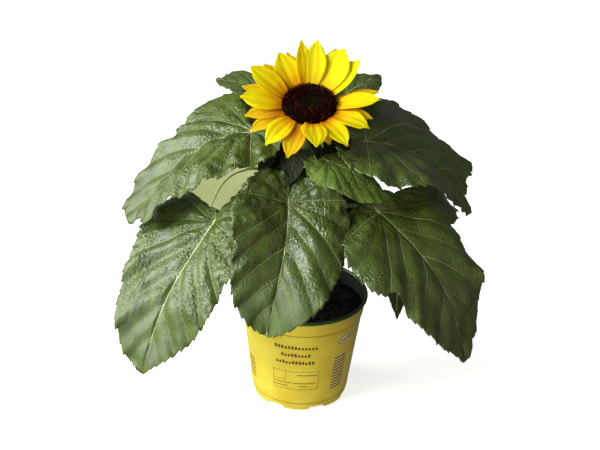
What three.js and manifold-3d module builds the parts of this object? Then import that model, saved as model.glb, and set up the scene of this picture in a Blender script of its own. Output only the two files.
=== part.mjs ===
// Dwarf sunflower in a nursery pot: the pot with its rolled lip, the soil, the stem, each leaf with its
// petiole, and one open flower head with its calyx, its disc of florets and its ray petals.
// Millimetres, +Z up. The origin is the centre of the pot's underside, and the plant's front faces -Y.
import * as THREE from 'three';
import { mergeVertices } from 'three/addons/utils/BufferGeometryUtils.js';
import Module from 'manifold-3d';

const wasm = await Module();
wasm.setup();

// What two touching pieces keep between them.
const CLEARANCE = 0.3;

// The pot is a thin moulded cone with a collar under its lip and a ring of feet cut out of its foot.
const POT = {
  height: 115,
  lipRadius: 65,
  baseRadius: 48.5,
  wall: 1.2,
  floor: 2,
  floorRadius: 41,
  floorRise: 4.5,
  floorSlope: 2.5,
  floorShift: 0.8,
  collarHeight: 18.4,
  collarStep: 0.9,
  stepHeight: 0.6,
  lipHeight: 2.8,
  lipWidth: 3.4,
  lipRound: 0.8,
  footHeight: 7.5,
  footStep: 0.4,
  notchHeight: 3.6,
  notchWidth: 18,
  notches: 7,
  firstNotch: -119,
  sides: 48,
};

// Soil fills the pot to a little below its lip, level round the stem and a little higher towards the wall.
const SOIL = { top: 101, crown: 1.5, flat: 12, bank: 10, edge: 14, gap: 0.4 };

// The stem leans a little forward, tapers upwards and flares at its foot and under the head.
const STEM = {
  footRadius: 7.5,
  radius: 6,
  neckRadius: 4.6,
  collarRadius: 6.2,
  flareHeight: 14,
  uprightShare: 0.45,
  neckBend: 60,
  sides: 10,
  rings: 14,
};

// The head: where the disc's centre lies and how far it faces the front. The sections are radii and heights
// from that centre. The disc is a low dome with a shallow hollow, and the calyx is a cup under it.
const HEAD = {
  centre: [-2, -15, 329.5],
  tilt: 20,
  calyxFoot: -17,
  discSection: [
    [0, -4.9], [25, -4.9], [26.2, -3.3], [26.2, -0.8], [24.4, 1],
    [19.6, 2.4], [11.8, 2.4], [5.8, 1.4], [0, 1.4],
  ],
  cupSection: [[8.7, -13.5], [17.6, -10], [23.3, -7.8], [24.5, -6.2], [23.9, -5.2], [0, -5.2]],
  sides: 30,
};

// The calyx's pointed bracts lie under the petals, so they rise towards the head's back as the petals do.
const BRACTS = {
  count: 13,
  from: 18,
  level: -8.6,
  length: 26,
  width: 13,
  thickness: 1,
  lift: -14,
  backLift: 20,
  bend: 20,
  turn: 5,
  keel: 0.1,
  taper: 1.6,
  rows: 4,
};

// What the ray petals share: where their claws start beside the disc, and the heights of the two whorls.
const PETAL = {
  from: 26.9,
  upper: -2.3,
  lower: -4.0,
  claw: 0.5,
  clawFade: 2.5,
  skew: 1.1,
  fullness: 0.8,
  widest: 1.08,
  thickness: 0.6,
  keel: 0.16,
  rows: 8,
};

// One row a ray petal: its azimuth round the disc in degrees, from the plant's right towards its back, its
// lift above the disc's plane, its length and width, whether it grows from the upper or the lower whorl, how
// far it is turned about its own length, and how far it bends down along it.
const PETALS = [
  { azimuth: 0, lift: 14, length: 42, width: 19, whorl: 'upper', turn: 6, bend: 20 },
  { azimuth: 14, lift: 10, length: 42, width: 14, whorl: 'lower', turn: 0, bend: 10 },
  { azimuth: 40, lift: 34, length: 43, width: 20, whorl: 'upper', turn: 8, bend: 14 },
  { azimuth: 58, lift: 39, length: 44, width: 19, whorl: 'upper', turn: 4, bend: 14 },
  { azimuth: 69, lift: 26, length: 45, width: 15, whorl: 'lower', turn: 0, bend: 10 },
  { azimuth: 85, lift: 45, length: 45, width: 17, whorl: 'upper', turn: 6, bend: 12 },
  { azimuth: 101, lift: 47, length: 45, width: 10, whorl: 'lower', turn: -10, bend: 8 },
  { azimuth: 112, lift: 22, length: 40, width: 11, whorl: 'lower', turn: 0, bend: 10 },
  { azimuth: 123, lift: 33, length: 39, width: 19, whorl: 'upper', turn: 8, bend: 12 },
  { azimuth: 139, lift: 25, length: 38, width: 14, whorl: 'lower', turn: 4, bend: 10 },
  { azimuth: 154, lift: 27, length: 44, width: 19, whorl: 'upper', turn: 6, bend: 14 },
  { azimuth: 168, lift: 13, length: 41, width: 14, whorl: 'lower', turn: 4, bend: 10 },
  { azimuth: 183, lift: 14, length: 41, width: 19, whorl: 'upper', turn: 6, bend: 14 },
  { azimuth: 214, lift: 0, length: 40, width: 13, whorl: 'lower', turn: 6, bend: 24 },
  { azimuth: 233, lift: -6, length: 40, width: 16, whorl: 'upper', turn: 6, bend: 34 },
  { azimuth: 253, lift: -14, length: 39, width: 16, whorl: 'lower', turn: 4, bend: 30 },
  { azimuth: 277, lift: 12, length: 40, width: 19, whorl: 'upper', turn: 6, bend: 40 },
  { azimuth: 291, lift: 4, length: 30, width: 13, whorl: 'lower', turn: 2, bend: 30 },
  { azimuth: 304, lift: 2, length: 40, width: 17, whorl: 'upper', turn: 4, bend: 36 },
  { azimuth: 330, lift: 6, length: 40, width: 18, whorl: 'upper', turn: 4, bend: 30 },
  { azimuth: 345, lift: 4, length: 36, width: 13, whorl: 'lower', turn: 2, bend: 20 },
];

// The outline every leaf shares: the margin's distance from where the blade joins its petiole, in leaf
// lengths, by the angle in degrees from the tip. The last angle leaves the notch round the petiole.
const OUTLINE = [
  [0, 1], [5, 0.93], [14, 0.85], [24, 0.765], [36, 0.67], [50, 0.575], [68, 0.48],
  [90, 0.4], [118, 0.34], [146, 0.285], [164, 0.23], [175, 0.12],
];

// What the blades share. Side veins leave the midrib in front of the fan angle and fan out from the joint
// behind it, bowed a little. Every other margin point is drawn in for the teeth. Thickness is a share of the
// length, and small blades have fewer rows.
const BLADE = {
  rows: 14,
  smallRows: 8,
  smallWidth: 70,
  fanAngle: 45,
  veinSpread: 1.5,
  bow: 0.22,
  tooth: 0.035,
  thickness: 0.0105,
  midribArm: 0.4,
  flipFrom: 70,
  flipTo: 115,
  samples: 240,
};

// The petiole leaves the stem upwards at a slope in degrees, and runs on under the blade as a thinning rib.
const PETIOLE = {
  radius: 2.4,
  ribRadius: 0.45,
  ribEnd: 0.6,
  ribSink: 0.6,
  ribSteps: 6,
  slope: 50,
  stemArm: 0.4,
  jointArm: 0.35,
  smallest: 0.45,
  fullLength: 140,
  rings: 10,
  sides: 5,
};

// One row a leaf. The joint, where blade and petiole meet, and the tip are given by azimuth in degrees from
// +X, reach from the pot's axis and height. rise and fall are the midrib's slopes at the joint and the tip,
// and swing turns its heading there. Pairs are for the leaf's right and left side, but roll is for its joint
// and its tip. fold lifts a side, curl bends it down towards the margin, and flip folds its lobe up behind
// the joint. right and left say how far a side's margin departs from the shared outline: pairs of an angle
// from the tip and a factor.
const LEAVES = [
  { name: 'leaf_front', node: 215, joint: [-107, 62, 244], tip: [-104, 138, 141], rise: -30, fall: -72,
    width: 124, swing: 15, fold: [26, 38], curl: [30, 105],
    right: [[0, 1], [6, 1.06], [20, 1.06], [30, 0.96], [42, 0.88], [58, 0.92], [75, 1]],
    left: [[0, 1], [6, 1.06], [20, 1.08], [35, 1]] },
  { name: 'leaf_left_low', node: 185, joint: [-150, 103, 216], tip: [-144, 189, 77], rise: -50, fall: -75,
    width: 128, swing: -10, roll: [0, 15], fold: [10, 18], curl: [12, 50],
    right: [
      [0, 1], [10, 1.06], [28, 1], [45, 1], [55, 1.08], [78, 1.4], [98, 1.36],
      [110, 1], [122, 0.45], [175, 0.3],
    ],
    left: [[25, 1], [42, 0.93], [55, 0.86], [75, 1]] },
  { name: 'leaf_right_low', node: 190, joint: [-30, 80, 229], tip: [-31, 182, 96], rise: -30, fall: -85,
    width: 134, swing: 5, roll: [-4, 0], fold: [4, 18], curl: [30, 30], flip: [0, 25],
    right: [
      [32, 1], [38, 0.9], [44, 0.9], [50, 1.06], [60, 1.14], [78, 1.16], [96, 0.96],
      [115, 0.85], [135, 0.75], [150, 0.55], [175, 0.3],
    ],
    left: [[20, 1], [38, 0.86], [52, 0.9], [66, 1.36], [77, 1.5], [84, 0.9], [92, 0.45], [175, 0.3]] },
  { name: 'leaf_right_high', node: 240, joint: [3, 55, 283], tip: [-3, 161, 214], rise: 0, fall: -55,
    width: 130, swing: 10, roll: [8, 10], fold: [8, 28], curl: [30, 25],
    right: [[30, 1], [50, 1.15], [75, 1.32], [110, 1.3], [150, 1]],
    left: [[15, 1], [27, 1.24], [36, 1.12], [50, 1.2], [70, 1.34], [110, 1.36], [150, 1]] },
  { name: 'leaf_left_high', node: 250, joint: [178, 57, 289], tip: [188, 173, 196], rise: -10, fall: -50,
    width: 122, swing: -15, roll: [0, -15], fold: [26, 8], curl: [25, 25], flip: [-35, 0],
    right: [
      [0, 1.04], [10, 1.16], [18, 1.08], [26, 0.92], [35, 0.82], [44, 0.9],
      [52, 1.07], [62, 1.17], [80, 1.25], [110, 1.06],
    ],
    left: [[4, 1], [12, 1.1], [25, 1], [40, 1.1], [75, 1.3], [120, 1.3], [160, 1]] },
  { name: 'leaf_right_small', node: 258, joint: [-63, 40, 279], tip: [-31, 101, 243], rise: -10, fall: -45,
    width: 68, swing: -8, roll: [0, -5], fold: [0, 8], curl: [30, 28],
    right: [[0, 1], [30, 1.02], [60, 1], [90, 1.15], [150, 1.1]],
    left: [[0, 1], [30, 0.8], [90, 0.75], [150, 0.85]] },
  { name: 'leaf_back_right_high', node: 272, joint: [70, 45, 301], tip: [55, 123, 312], rise: 12, fall: -8,
    width: 60 },
  { name: 'leaf_back_left_high', node: 286, joint: [128, 54, 311], tip: [135, 140, 301], rise: 5, fall: -8,
    width: 58 },
  { name: 'leaf_left_back_low', node: 205, joint: [159, 66, 238], tip: [162, 113, 168], rise: -20, fall: -60,
    width: 62, roll: [-70, -75] },
  { name: 'leaf_right_back_low', node: 170, joint: [18, 63, 198], tip: [13, 102, 70], rise: -25, fall: -85,
    width: 46, roll: [40, 60] },
  { name: 'leaf_back', node: 226, joint: [88, 50, 246], tip: [90, 134, 158], rise: 0, fall: -72,
    width: 108, fold: [4, 4] },
  { name: 'leaf_back_small', node: 252, joint: [90, 30, 272], tip: [88, 78, 244], rise: -5, fall: -60,
    width: 50 },
  { name: 'leaf_back_right', node: 178, joint: [42, 82, 200], tip: [42, 166, 88], rise: -15, fall: -75,
    width: 112 },
  { name: 'leaf_back_left', node: 174, joint: [122, 82, 186], tip: [120, 168, 80], rise: -15, fall: -75,
    width: 112 },
  { name: 'leaf_neck_left', node: 290, joint: [-156, 32, 285], tip: [-151, 53, 252], rise: -10, fall: -70,
    width: 28 },
  { name: 'leaf_neck_front', node: 282, joint: [-115, 32, 283], tip: [-110, 54, 259], rise: -10, fall: -60,
    width: 27 },
  { name: 'leaf_neck_back', node: 296, joint: [106, 20, 292], tip: [108, 42, 279], rise: -10, fall: -60,
    width: 20 },
  { name: 'leaf_neck_right', node: 284, joint: [-46, 26, 300], tip: [-43, 50, 288], rise: 5, fall: -50,
    width: 28 },
  { name: 'leaf_neck_back_right', node: 276, joint: [45, 28, 284], tip: [47, 60, 257], rise: 0, fall: -65,
    width: 34 },
  { name: 'leaf_neck_back_left', node: 280, joint: [143, 28, 276], tip: [142, 53, 252], rise: 0, fall: -65,
    width: 25 },
];

const COLOURS = {
  potYellow: 0xe6d63c,
  lipGreen: 0x2f4d20,
  soil: 0x1c110c,
  stem: 0x87a253,
  leaf: 0x55713a,
  calyx: 0x64823c,
  disc: 0x2a0d08,
  petal: 0xf5d91b,
};

const UP = new THREE.Vector3(0, 0, 1);
const radians = THREE.MathUtils.degToRad;
const mix = THREE.MathUtils.lerp;

function finish(colour, roughness) {
  return new THREE.MeshStandardMaterial({ color: colour, roughness, metalness: 0 });
}

function atPolar([azimuth, reach, height]) {
  const angle = radians(azimuth);
  return new THREE.Vector3(reach * Math.cos(angle), reach * Math.sin(angle), height);
}

function heading(azimuth, slope) {
  const level = Math.cos(radians(slope));
  const angle = radians(azimuth);
  return new THREE.Vector3(level * Math.cos(angle), level * Math.sin(angle), Math.sin(radians(slope)));
}

// Points and triangles as one indexed geometry.
function bodyOf(points, faces) {
  const geometry = new THREE.BufferGeometry();
  const numbers = points.flatMap((point) => point.toArray());
  geometry.setAttribute('position', new THREE.Float32BufferAttribute(numbers, 3));
  geometry.setIndex(faces.flat());
  return geometry;
}

function asSolid(geometry) {
  const bare = geometry.clone();
  bare.deleteAttribute('normal');
  bare.deleteAttribute('uv');
  const merged = mergeVertices(bare, 1e-3);
  const mesh = new wasm.Mesh({
    numProp: 3,
    vertProperties: new Float32Array(merged.attributes.position.array),
    triVerts: new Uint32Array(merged.index.array),
  });
  return new wasm.Manifold(mesh);
}

function asGeometry(solid) {
  const mesh = solid.getMesh();
  const geometry = new THREE.BufferGeometry();
  geometry.setAttribute('position', new THREE.BufferAttribute(new Float32Array(mesh.vertProperties), 3));
  geometry.setIndex(new THREE.BufferAttribute(new Uint32Array(mesh.triVerts), 1));
  return geometry;
}

// A closed ring or bowl turned about the Z axis, from a profile of [radius, height] corners.
function turned(profile, sides) {
  const corners = profile.map(([radius, height]) => new THREE.Vector2(radius, height));
  return new THREE.LatheGeometry(corners, sides).rotateX(Math.PI / 2);
}

// A round tube of changing radius along a curve, closed at both ends, each ring square to the curve.
function taperedTube(curve, radiusAt, rings, sides) {
  const points = [];
  const faces = [];
  let across = new THREE.Vector3(1, 0, 0);
  for (let ring = 0; ring <= rings; ring += 1) {
    const share = ring / rings;
    const along = curve.getTangentAt(share);
    across = across.clone().addScaledVector(along, -across.dot(along)).normalize();
    const second = along.clone().cross(across);
    const centre = curve.getPointAt(share);
    for (let side = 0; side < sides; side += 1) {
      const angle = (2 * Math.PI * side) / sides;
      points.push(centre.clone()
        .addScaledVector(across, radiusAt(share) * Math.cos(angle))
        .addScaledVector(second, radiusAt(share) * Math.sin(angle)));
      if (ring < rings) {
        const here = ring * sides + side;
        const next = ring * sides + ((side + 1) % sides);
        faces.push([here, next, next + sides], [here, next + sides, here + sides]);
      }
    }
  }
  const last = rings * sides;
  for (let side = 1; side < sides - 1; side += 1) {
    faces.push([0, side + 1, side], [last, last + side, last + side + 1]);
  }
  return bodyOf(points, faces);
}

// A sheet of points and triangles thickened evenly to both sides, with its open edges walled.
function thickened(points, faces, thickness) {
  const sheet = bodyOf(points, faces);
  sheet.computeVertexNormals();
  const normals = sheet.attributes.normal;
  const count = points.length;
  const shell = [0.5, -0.5].flatMap((share) => points.map((point, index) => {
    const normal = new THREE.Vector3().fromBufferAttribute(normals, index);
    return point.clone().addScaledVector(normal, share * thickness);
  }));
  const edges = new Set(faces.flatMap(([a, b, c]) => [`${a} ${b}`, `${b} ${c}`, `${c} ${a}`]));
  const walls = [];
  for (const edge of edges) {
    const [a, b] = edge.split(' ').map(Number);
    if (!edges.has(`${b} ${a}`)) {
      walls.push([b, a, a + count], [b, a + count, b + count]);
    }
  }
  const under = faces.map(([a, b, c]) => [c + count, b + count, a + count]);
  return bodyOf(shell, [...faces, ...under, ...walls]);
}

// The pot.
const bodyTop = POT.height - POT.collarHeight;
const rimTop = POT.height - POT.lipHeight - CLEARANCE;
const collarRadius = POT.lipRadius - POT.lipWidth / 2 + POT.wall / 2;

function wallRadius(height) {
  return mix(POT.baseRadius, collarRadius, height / POT.height);
}

function potShell() {
  const footInside = wallRadius(0) - POT.wall;
  const ledge = POT.floorRise + POT.floor;
  const profile = [
    [0, 0], [POT.floorRadius, 0], [POT.floorRadius + POT.floorSlope, POT.floorRise],
    [footInside - CLEARANCE, POT.floorRise], [footInside, 0], [wallRadius(0), 0],
    [wallRadius(POT.footHeight), POT.footHeight],
    [wallRadius(POT.footHeight) + POT.footStep, POT.footHeight + POT.footStep],
    [wallRadius(bodyTop), bodyTop], [wallRadius(bodyTop) + POT.collarStep, bodyTop + POT.stepHeight],
    [collarRadius, rimTop], [collarRadius - POT.wall, rimTop],
    [wallRadius(bodyTop) - POT.wall, bodyTop], [wallRadius(POT.footHeight) - POT.wall, ledge],
    [POT.floorRadius + POT.floorSlope - POT.floorShift, ledge], [POT.floorRadius - POT.floorShift, POT.floor],
    [0, POT.floor],
  ];
  let shell = asSolid(turned(profile, POT.sides));
  for (let index = 0; index < POT.notches; index += 1) {
    const cutter = new THREE.BoxGeometry(POT.notchWidth / 2, POT.notchWidth, 2 * POT.notchHeight);
    cutter.translate(POT.baseRadius, 0, 0);
    cutter.rotateZ(radians(POT.firstNotch + (360 / POT.notches) * index));
    shell = shell.subtract(asSolid(cutter));
  }
  return asGeometry(shell);
}

// The lip is rolled outwards over the top of the wall.
function potLip() {
  const low = POT.height - POT.lipHeight;
  const inner = POT.lipRadius - POT.lipWidth;
  const round = POT.lipRound;
  const profile = [
    [inner, low], [POT.lipRadius - round, low], [POT.lipRadius, low + round],
    [POT.lipRadius, POT.height - round], [POT.lipRadius - round, POT.height],
    [inner + round, POT.height], [inner, POT.height - round], [inner, low],
  ];
  return turned(profile, POT.sides);
}

// The soil follows the pot's inside and stops below its lip.
function soil() {
  const { top, gap } = SOIL;
  const bottom = POT.floor + gap;
  const ledge = POT.floorRise + bottom;
  const foot = POT.floorRadius - POT.floorShift - gap;
  const insideAt = (height) => wallRadius(height) - POT.wall - gap;
  const profile = [
    [0, bottom], [foot, bottom], [foot + POT.floorSlope, ledge], [insideAt(ledge), ledge],
    [insideAt(top), top - SOIL.crown], [insideAt(top) - SOIL.edge, top + SOIL.crown],
    [SOIL.flat + SOIL.bank, top + SOIL.crown], [SOIL.flat, top], [0, top],
  ];
  return turned(profile, POT.sides);
}

// The stem.
const headFrame = new THREE.Matrix4()
  .makeRotationX(radians(HEAD.tilt))
  .setPosition(new THREE.Vector3(...HEAD.centre));
const headNormal = heading(-90, 90 - HEAD.tilt);
const stemTop = new THREE.Vector3(0, 0, HEAD.calyxFoot - CLEARANCE).applyMatrix4(headFrame);
const stemFoot = new THREE.Vector3(0, 0, SOIL.top + CLEARANCE);
const stemCurve = new THREE.CubicBezierCurve3(
  stemFoot,
  new THREE.Vector3(0, 0, mix(stemFoot.z, stemTop.z, STEM.uprightShare)),
  stemTop.clone().addScaledVector(headNormal, -STEM.neckBend),
  stemTop,
);

function stemRadius(share) {
  const length = stemCurve.getLength();
  const plain = mix(STEM.radius, STEM.neckRadius, share);
  const foot = Math.max(0, 1 - (share * length) / STEM.flareHeight) ** 2;
  const collar = Math.max(0, 1 - ((1 - share) * length) / STEM.flareHeight) ** 2;
  return plain + (STEM.footRadius - STEM.radius) * foot + (STEM.collarRadius - STEM.neckRadius) * collar;
}

function stemBody(extra = 0) {
  return taperedTube(stemCurve, (share) => stemRadius(share) + extra, STEM.rings, STEM.sides);
}

function stemPoint(height) {
  const share = (height - stemFoot.z) / (stemTop.z - stemFoot.z);
  return stemCurve.getPointAt(THREE.MathUtils.clamp(share, 0, 1));
}

// The leaves.
// The value at a key between listed pairs of key and value, level beyond the first and the last.
function stepped(pairs, key) {
  const after = pairs.findIndex(([listed]) => listed >= key);
  if (after <= 0) {
    return after === 0 ? pairs[0][1] : pairs.at(-1)[1];
  }
  const [lowKey, low] = pairs[after - 1];
  const [highKey, high] = pairs[after];
  return mix(low, high, (key - lowKey) / (highKey - lowKey));
}

// The margin from the notch to the tip at even steps along it, as angle, width and length in leaf lengths.
function marginSteps(rows) {
  const samples = [];
  const last = OUTLINE.at(-1)[0];
  for (let step = 0; step <= BLADE.samples; step += 1) {
    const angle = last * (1 - step / BLADE.samples);
    const reach = stepped(OUTLINE, angle);
    samples.push({ angle, x: reach * Math.sin(radians(angle)), y: reach * Math.cos(radians(angle)) });
  }
  const run = [0];
  for (let step = 1; step < samples.length; step += 1) {
    const before = samples[step - 1];
    run.push(run[step - 1] + Math.hypot(samples[step].x - before.x, samples[step].y - before.y));
  }
  const half = Math.max(...samples.map((sample) => sample.x));
  const steps = [];
  for (let row = 0; row <= rows; row += 1) {
    const goal = (run.at(-1) * row) / rows;
    const index = Math.max(1, run.findIndex((value) => value >= goal - 1e-9));
    const share = (goal - run[index - 1]) / (run[index] - run[index - 1]);
    const from = samples[index - 1];
    const to = samples[index];
    steps.push({
      angle: mix(from.angle, to.angle, share),
      x: mix(from.x, to.x, share) / half,
      y: mix(from.y, to.y, share),
    });
  }
  return steps;
}

// The midrib as a curve, with the leaf's own frame along it: along the midrib, towards its right, and up.
function midrib(leaf) {
  const joint = atPolar(leaf.joint);
  const tip = atPolar(leaf.tip);
  const chord = tip.clone().sub(joint);
  const azimuth = THREE.MathUtils.radToDeg(Math.atan2(chord.y, chord.x));
  const swing = leaf.swing ?? 0;
  const [rollJoint, rollTip] = leaf.roll ?? [0, 0];
  const arm = BLADE.midribArm * chord.length();
  const start = heading(azimuth + swing, leaf.rise);
  const end = heading(azimuth - swing, leaf.fall);
  const curve = new THREE.CubicBezierCurve3(
    joint,
    joint.clone().addScaledVector(start, arm),
    tip.clone().addScaledVector(end, -arm),
    tip,
  );
  const length = curve.getLength();
  const frameAt = (distance) => {
    const share = THREE.MathUtils.clamp(distance / length, 0, 1);
    const along = curve.getTangentAt(share);
    const right = heading(azimuth + mix(swing, -swing, share), 0).cross(UP);
    right.addScaledVector(along, -right.dot(along)).normalize();
    const up = right.clone().cross(along);
    right.applyAxisAngle(along, -radians(mix(rollJoint, rollTip, share)));
    up.applyAxisAngle(along, -radians(mix(rollJoint, rollTip, share)));
    const point = curve.getPointAt(share).addScaledVector(along, Math.min(distance, 0));
    return { point, along, right, up };
  };
  return { curve, length, start, frameAt };
}

// The blade as a sheet: rows from the midrib to the margin on each side, with every other margin point drawn
// in a little for the teeth.
function bladeSheet(leaf) {
  const rib = midrib(leaf);
  const fold = leaf.fold ?? [10, 10];
  const curl = leaf.curl ?? [20, 20];
  const flip = leaf.flip ?? [0, 0];
  const rows = leaf.width > BLADE.smallWidth ? BLADE.rows : BLADE.smallRows;
  const steps = marginSteps(rows);
  const anchors = steps.map(({ angle }) => (
    rib.length * Math.max(0, 1 - angle / BLADE.fanAngle) ** BLADE.veinSpread
  ));
  const points = [];
  const faces = [];
  const place = new Map();
  const pointAt = (side, row, column) => {
    const key = column === 0 || row === rows
      ? `rib ${anchors[row].toFixed(4)}`
      : `${side} ${row} ${column}`;
    if (!place.has(key)) {
      place.set(key, points.length);
      points.push(bladePoint(side, row, column));
    }
    return place.get(key);
  };
  const bladePoint = (side, row, column) => {
    const { angle, x, y } = steps[row];
    const tooth = row % 2 === 1 && column === 2 ? BLADE.tooth : 0;
    const q = column / 2;
    const departure = (side === 0 ? leaf.right : leaf.left) ?? [[0, 1]];
    const stretch = mix(1, stepped(departure, angle), q) * (1 - tooth);
    const marginX = (leaf.width / 2) * x * stretch;
    const marginY = rib.length * y * stretch;
    const span = marginY - anchors[row];
    const bow = anchors[row] > 0 ? BLADE.bow * Math.hypot(marginX, span) * q * (1 - q) : 0;
    const { point, right, up } = rib.frameAt(anchors[row] + span * q - bow);
    const across = marginX * q;
    const behind = THREE.MathUtils.smoothstep(angle, BLADE.flipFrom, BLADE.flipTo);
    const slope = radians(fold[side] + flip[side] * behind - (curl[side] * across) / leaf.width);
    const outwards = side === 0 ? 1 : -1;
    return point
      .addScaledVector(right, outwards * across * Math.cos(slope))
      .addScaledVector(up, across * Math.sin(slope));
  };
  const addFace = (a, b, c) => {
    if (a !== b && b !== c && c !== a) {
      faces.push([a, b, c]);
    }
  };
  for (const side of [0, 1]) {
    for (let row = 0; row < rows; row += 1) {
      for (const column of [0, 1]) {
        const a = pointAt(side, row, column);
        const b = pointAt(side, row, column + 1);
        const c = pointAt(side, row + 1, column + 1);
        const d = pointAt(side, row + 1, column);
        if (side === 0) {
          addFace(a, b, c);
          addFace(a, c, d);
        } else {
          addFace(a, c, b);
          addFace(a, d, c);
        }
      }
    }
  }
  return { rib, points, faces };
}

// The petiole leaves the stem outwards and upwards, arches over into the joint, and runs on under the midrib.
function petiole(leaf, rib) {
  const root = stemPoint(leaf.node);
  const joint = rib.curve.v0;
  const outwards = joint.clone().sub(root);
  const reach = outwards.length();
  const azimuth = THREE.MathUtils.radToDeg(Math.atan2(outwards.y, outwards.x));
  const path = new THREE.CurvePath();
  path.add(new THREE.CubicBezierCurve3(
    root,
    root.clone().addScaledVector(heading(azimuth, PETIOLE.slope), PETIOLE.stemArm * reach),
    joint.clone().addScaledVector(rib.start, -PETIOLE.jointArm * reach),
    joint,
  ));
  const under = [];
  for (let step = 0; step <= PETIOLE.ribSteps; step += 1) {
    const share = (PETIOLE.ribEnd * step) / PETIOLE.ribSteps;
    const { point, up } = rib.frameAt(share * rib.length);
    under.push(point.addScaledVector(up, -PETIOLE.ribSink * Math.min(1, step)));
  }
  path.add(new THREE.CatmullRomCurve3(under));
  const size = mix(PETIOLE.smallest, 1, Math.min(1, rib.length / PETIOLE.fullLength));
  const radiusAt = (share) => size * mix(PETIOLE.radius, PETIOLE.ribRadius, share ** 2);
  return taperedTube(path, radiusAt, PETIOLE.rings, PETIOLE.sides);
}

function leafBody(leaf, stemGrown) {
  const { rib, points, faces } = bladeSheet(leaf);
  const blade = thickened(points, faces, BLADE.thickness * rib.length);
  return asGeometry(asSolid(blade).add(asSolid(petiole(leaf, rib))).subtract(stemGrown));
}

// The flower head, in its own frame: the disc's centre at the origin, facing +Z, its back towards +Y.
function disc() {
  return turned(HEAD.discSection, HEAD.sides);
}

// A pointed strip from the head outwards, as rows of left edge, keel and right edge.
function ray({ azimuth, lift, bend, turn, from, level, length, halfWidth, keel, thickness, rows }) {
  const outwards = heading(azimuth, 0);
  const side = outwards.clone().cross(UP);
  const centre = outwards.clone().multiplyScalar(from).addScaledVector(UP, level);
  const points = [];
  const faces = [];
  for (let row = 0; row <= rows; row += 1) {
    const share = row / rows;
    const slope = radians(lift + bend * (0.5 - share));
    const up = outwards.clone().multiplyScalar(-Math.sin(slope)).addScaledVector(UP, Math.cos(slope));
    const wide = side.clone().multiplyScalar(Math.cos(radians(turn)))
      .addScaledVector(up, Math.sin(radians(turn)));
    const half = halfWidth(share);
    if (row < rows) {
      points.push(
        centre.clone().addScaledVector(wide, -half).addScaledVector(up, keel * half),
        centre.clone(),
        centre.clone().addScaledVector(wide, half).addScaledVector(up, keel * half),
      );
    } else {
      points.push(centre.clone());
    }
    const along = outwards.clone().multiplyScalar(Math.cos(slope)).addScaledVector(UP, Math.sin(slope));
    centre.addScaledVector(along, length / rows);
  }
  for (let row = 0; row < rows - 1; row += 1) {
    for (const column of [0, 1]) {
      const a = 3 * row + column;
      faces.push([a, a + 1, a + 4], [a, a + 4, a + 3]);
    }
  }
  const last = 3 * (rows - 1);
  faces.push([last, last + 1, last + 3], [last + 1, last + 2, last + 3]);
  return thickened(points, faces, thickness);
}

// A petal's half width along its length: a narrow claw, widest past the middle, and a pointed tip.
function petalHalfWidth(width, share) {
  const swell = Math.max(0, Math.sin(Math.PI * share ** PETAL.skew)) ** PETAL.fullness;
  const plain = PETAL.claw * (1 - share) ** PETAL.clawFade + swell;
  return ((width / 2) * plain) / PETAL.widest;
}

function petal(row) {
  return ray({
    ...row,
    from: PETAL.from,
    level: PETAL[row.whorl],
    halfWidth: (share) => petalHalfWidth(row.width, share),
    keel: PETAL.keel,
    thickness: PETAL.thickness,
    rows: PETAL.rows,
  });
}

function bract(index) {
  const azimuth = (360 * (index + 0.5)) / BRACTS.count;
  return ray({
    azimuth,
    lift: BRACTS.lift + BRACTS.backLift * Math.sin(radians(azimuth)),
    bend: BRACTS.bend,
    turn: BRACTS.turn,
    from: BRACTS.from,
    level: BRACTS.level,
    length: BRACTS.length,
    halfWidth: (share) => (BRACTS.width / 2) * (1 - share ** BRACTS.taper),
    keel: BRACTS.keel,
    thickness: BRACTS.thickness,
    rows: BRACTS.rows,
  });
}

// The calyx: the green cup that holds the disc, with a ring of pointed bracts under the petals.
function calyx() {
  const foot = [[0, HEAD.calyxFoot], [STEM.collarRadius, HEAD.calyxFoot]];
  let cup = asSolid(turned([...foot, ...HEAD.cupSection], HEAD.sides));
  for (let index = 0; index < BRACTS.count; index += 1) {
    cup = cup.add(asSolid(bract(index)));
  }
  return asGeometry(cup);
}

// The whole plant.
function named(name, geometry, material) {
  const mesh = new THREE.Mesh(geometry, material);
  mesh.name = name;
  return mesh;
}

const plant = new THREE.Group();
plant.add(named('pot_shell', potShell(), finish(COLOURS.potYellow, 0.35)));
plant.add(named('pot_lip', potLip(), finish(COLOURS.lipGreen, 0.45)));
plant.add(named('soil', soil(), finish(COLOURS.soil, 0.95)));
plant.add(named('stem', stemBody(), finish(COLOURS.stem, 0.6)));

const stemGrown = asSolid(stemBody(CLEARANCE));
const leafFinish = finish(COLOURS.leaf, 0.5);
for (const leaf of LEAVES) {
  plant.add(named(leaf.name, leafBody(leaf, stemGrown), leafFinish));
}

const head = new THREE.Group();
head.position.set(...HEAD.centre);
head.rotation.x = radians(HEAD.tilt);
head.add(named('calyx', calyx(), finish(COLOURS.calyx, 0.6)));
head.add(named('disc', disc(), finish(COLOURS.disc, 0.9)));
const petalFinish = finish(COLOURS.petal, 0.55);
PETALS.forEach((row, index) => {
  head.add(named(`petal_${String(index + 1).padStart(2, '0')}`, petal(row), petalFinish));
});
plant.add(head);

export default plant;
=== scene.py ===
# A dwarf sunflower in a yellow nursery pot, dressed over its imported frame. Shapes are worked out in
# millimetres in the frame's own axes, and turned to metres as each mesh is made.
import math

import bmesh
import bpy
import numpy as np
from mathutils import Euler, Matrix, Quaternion, Vector


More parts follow.
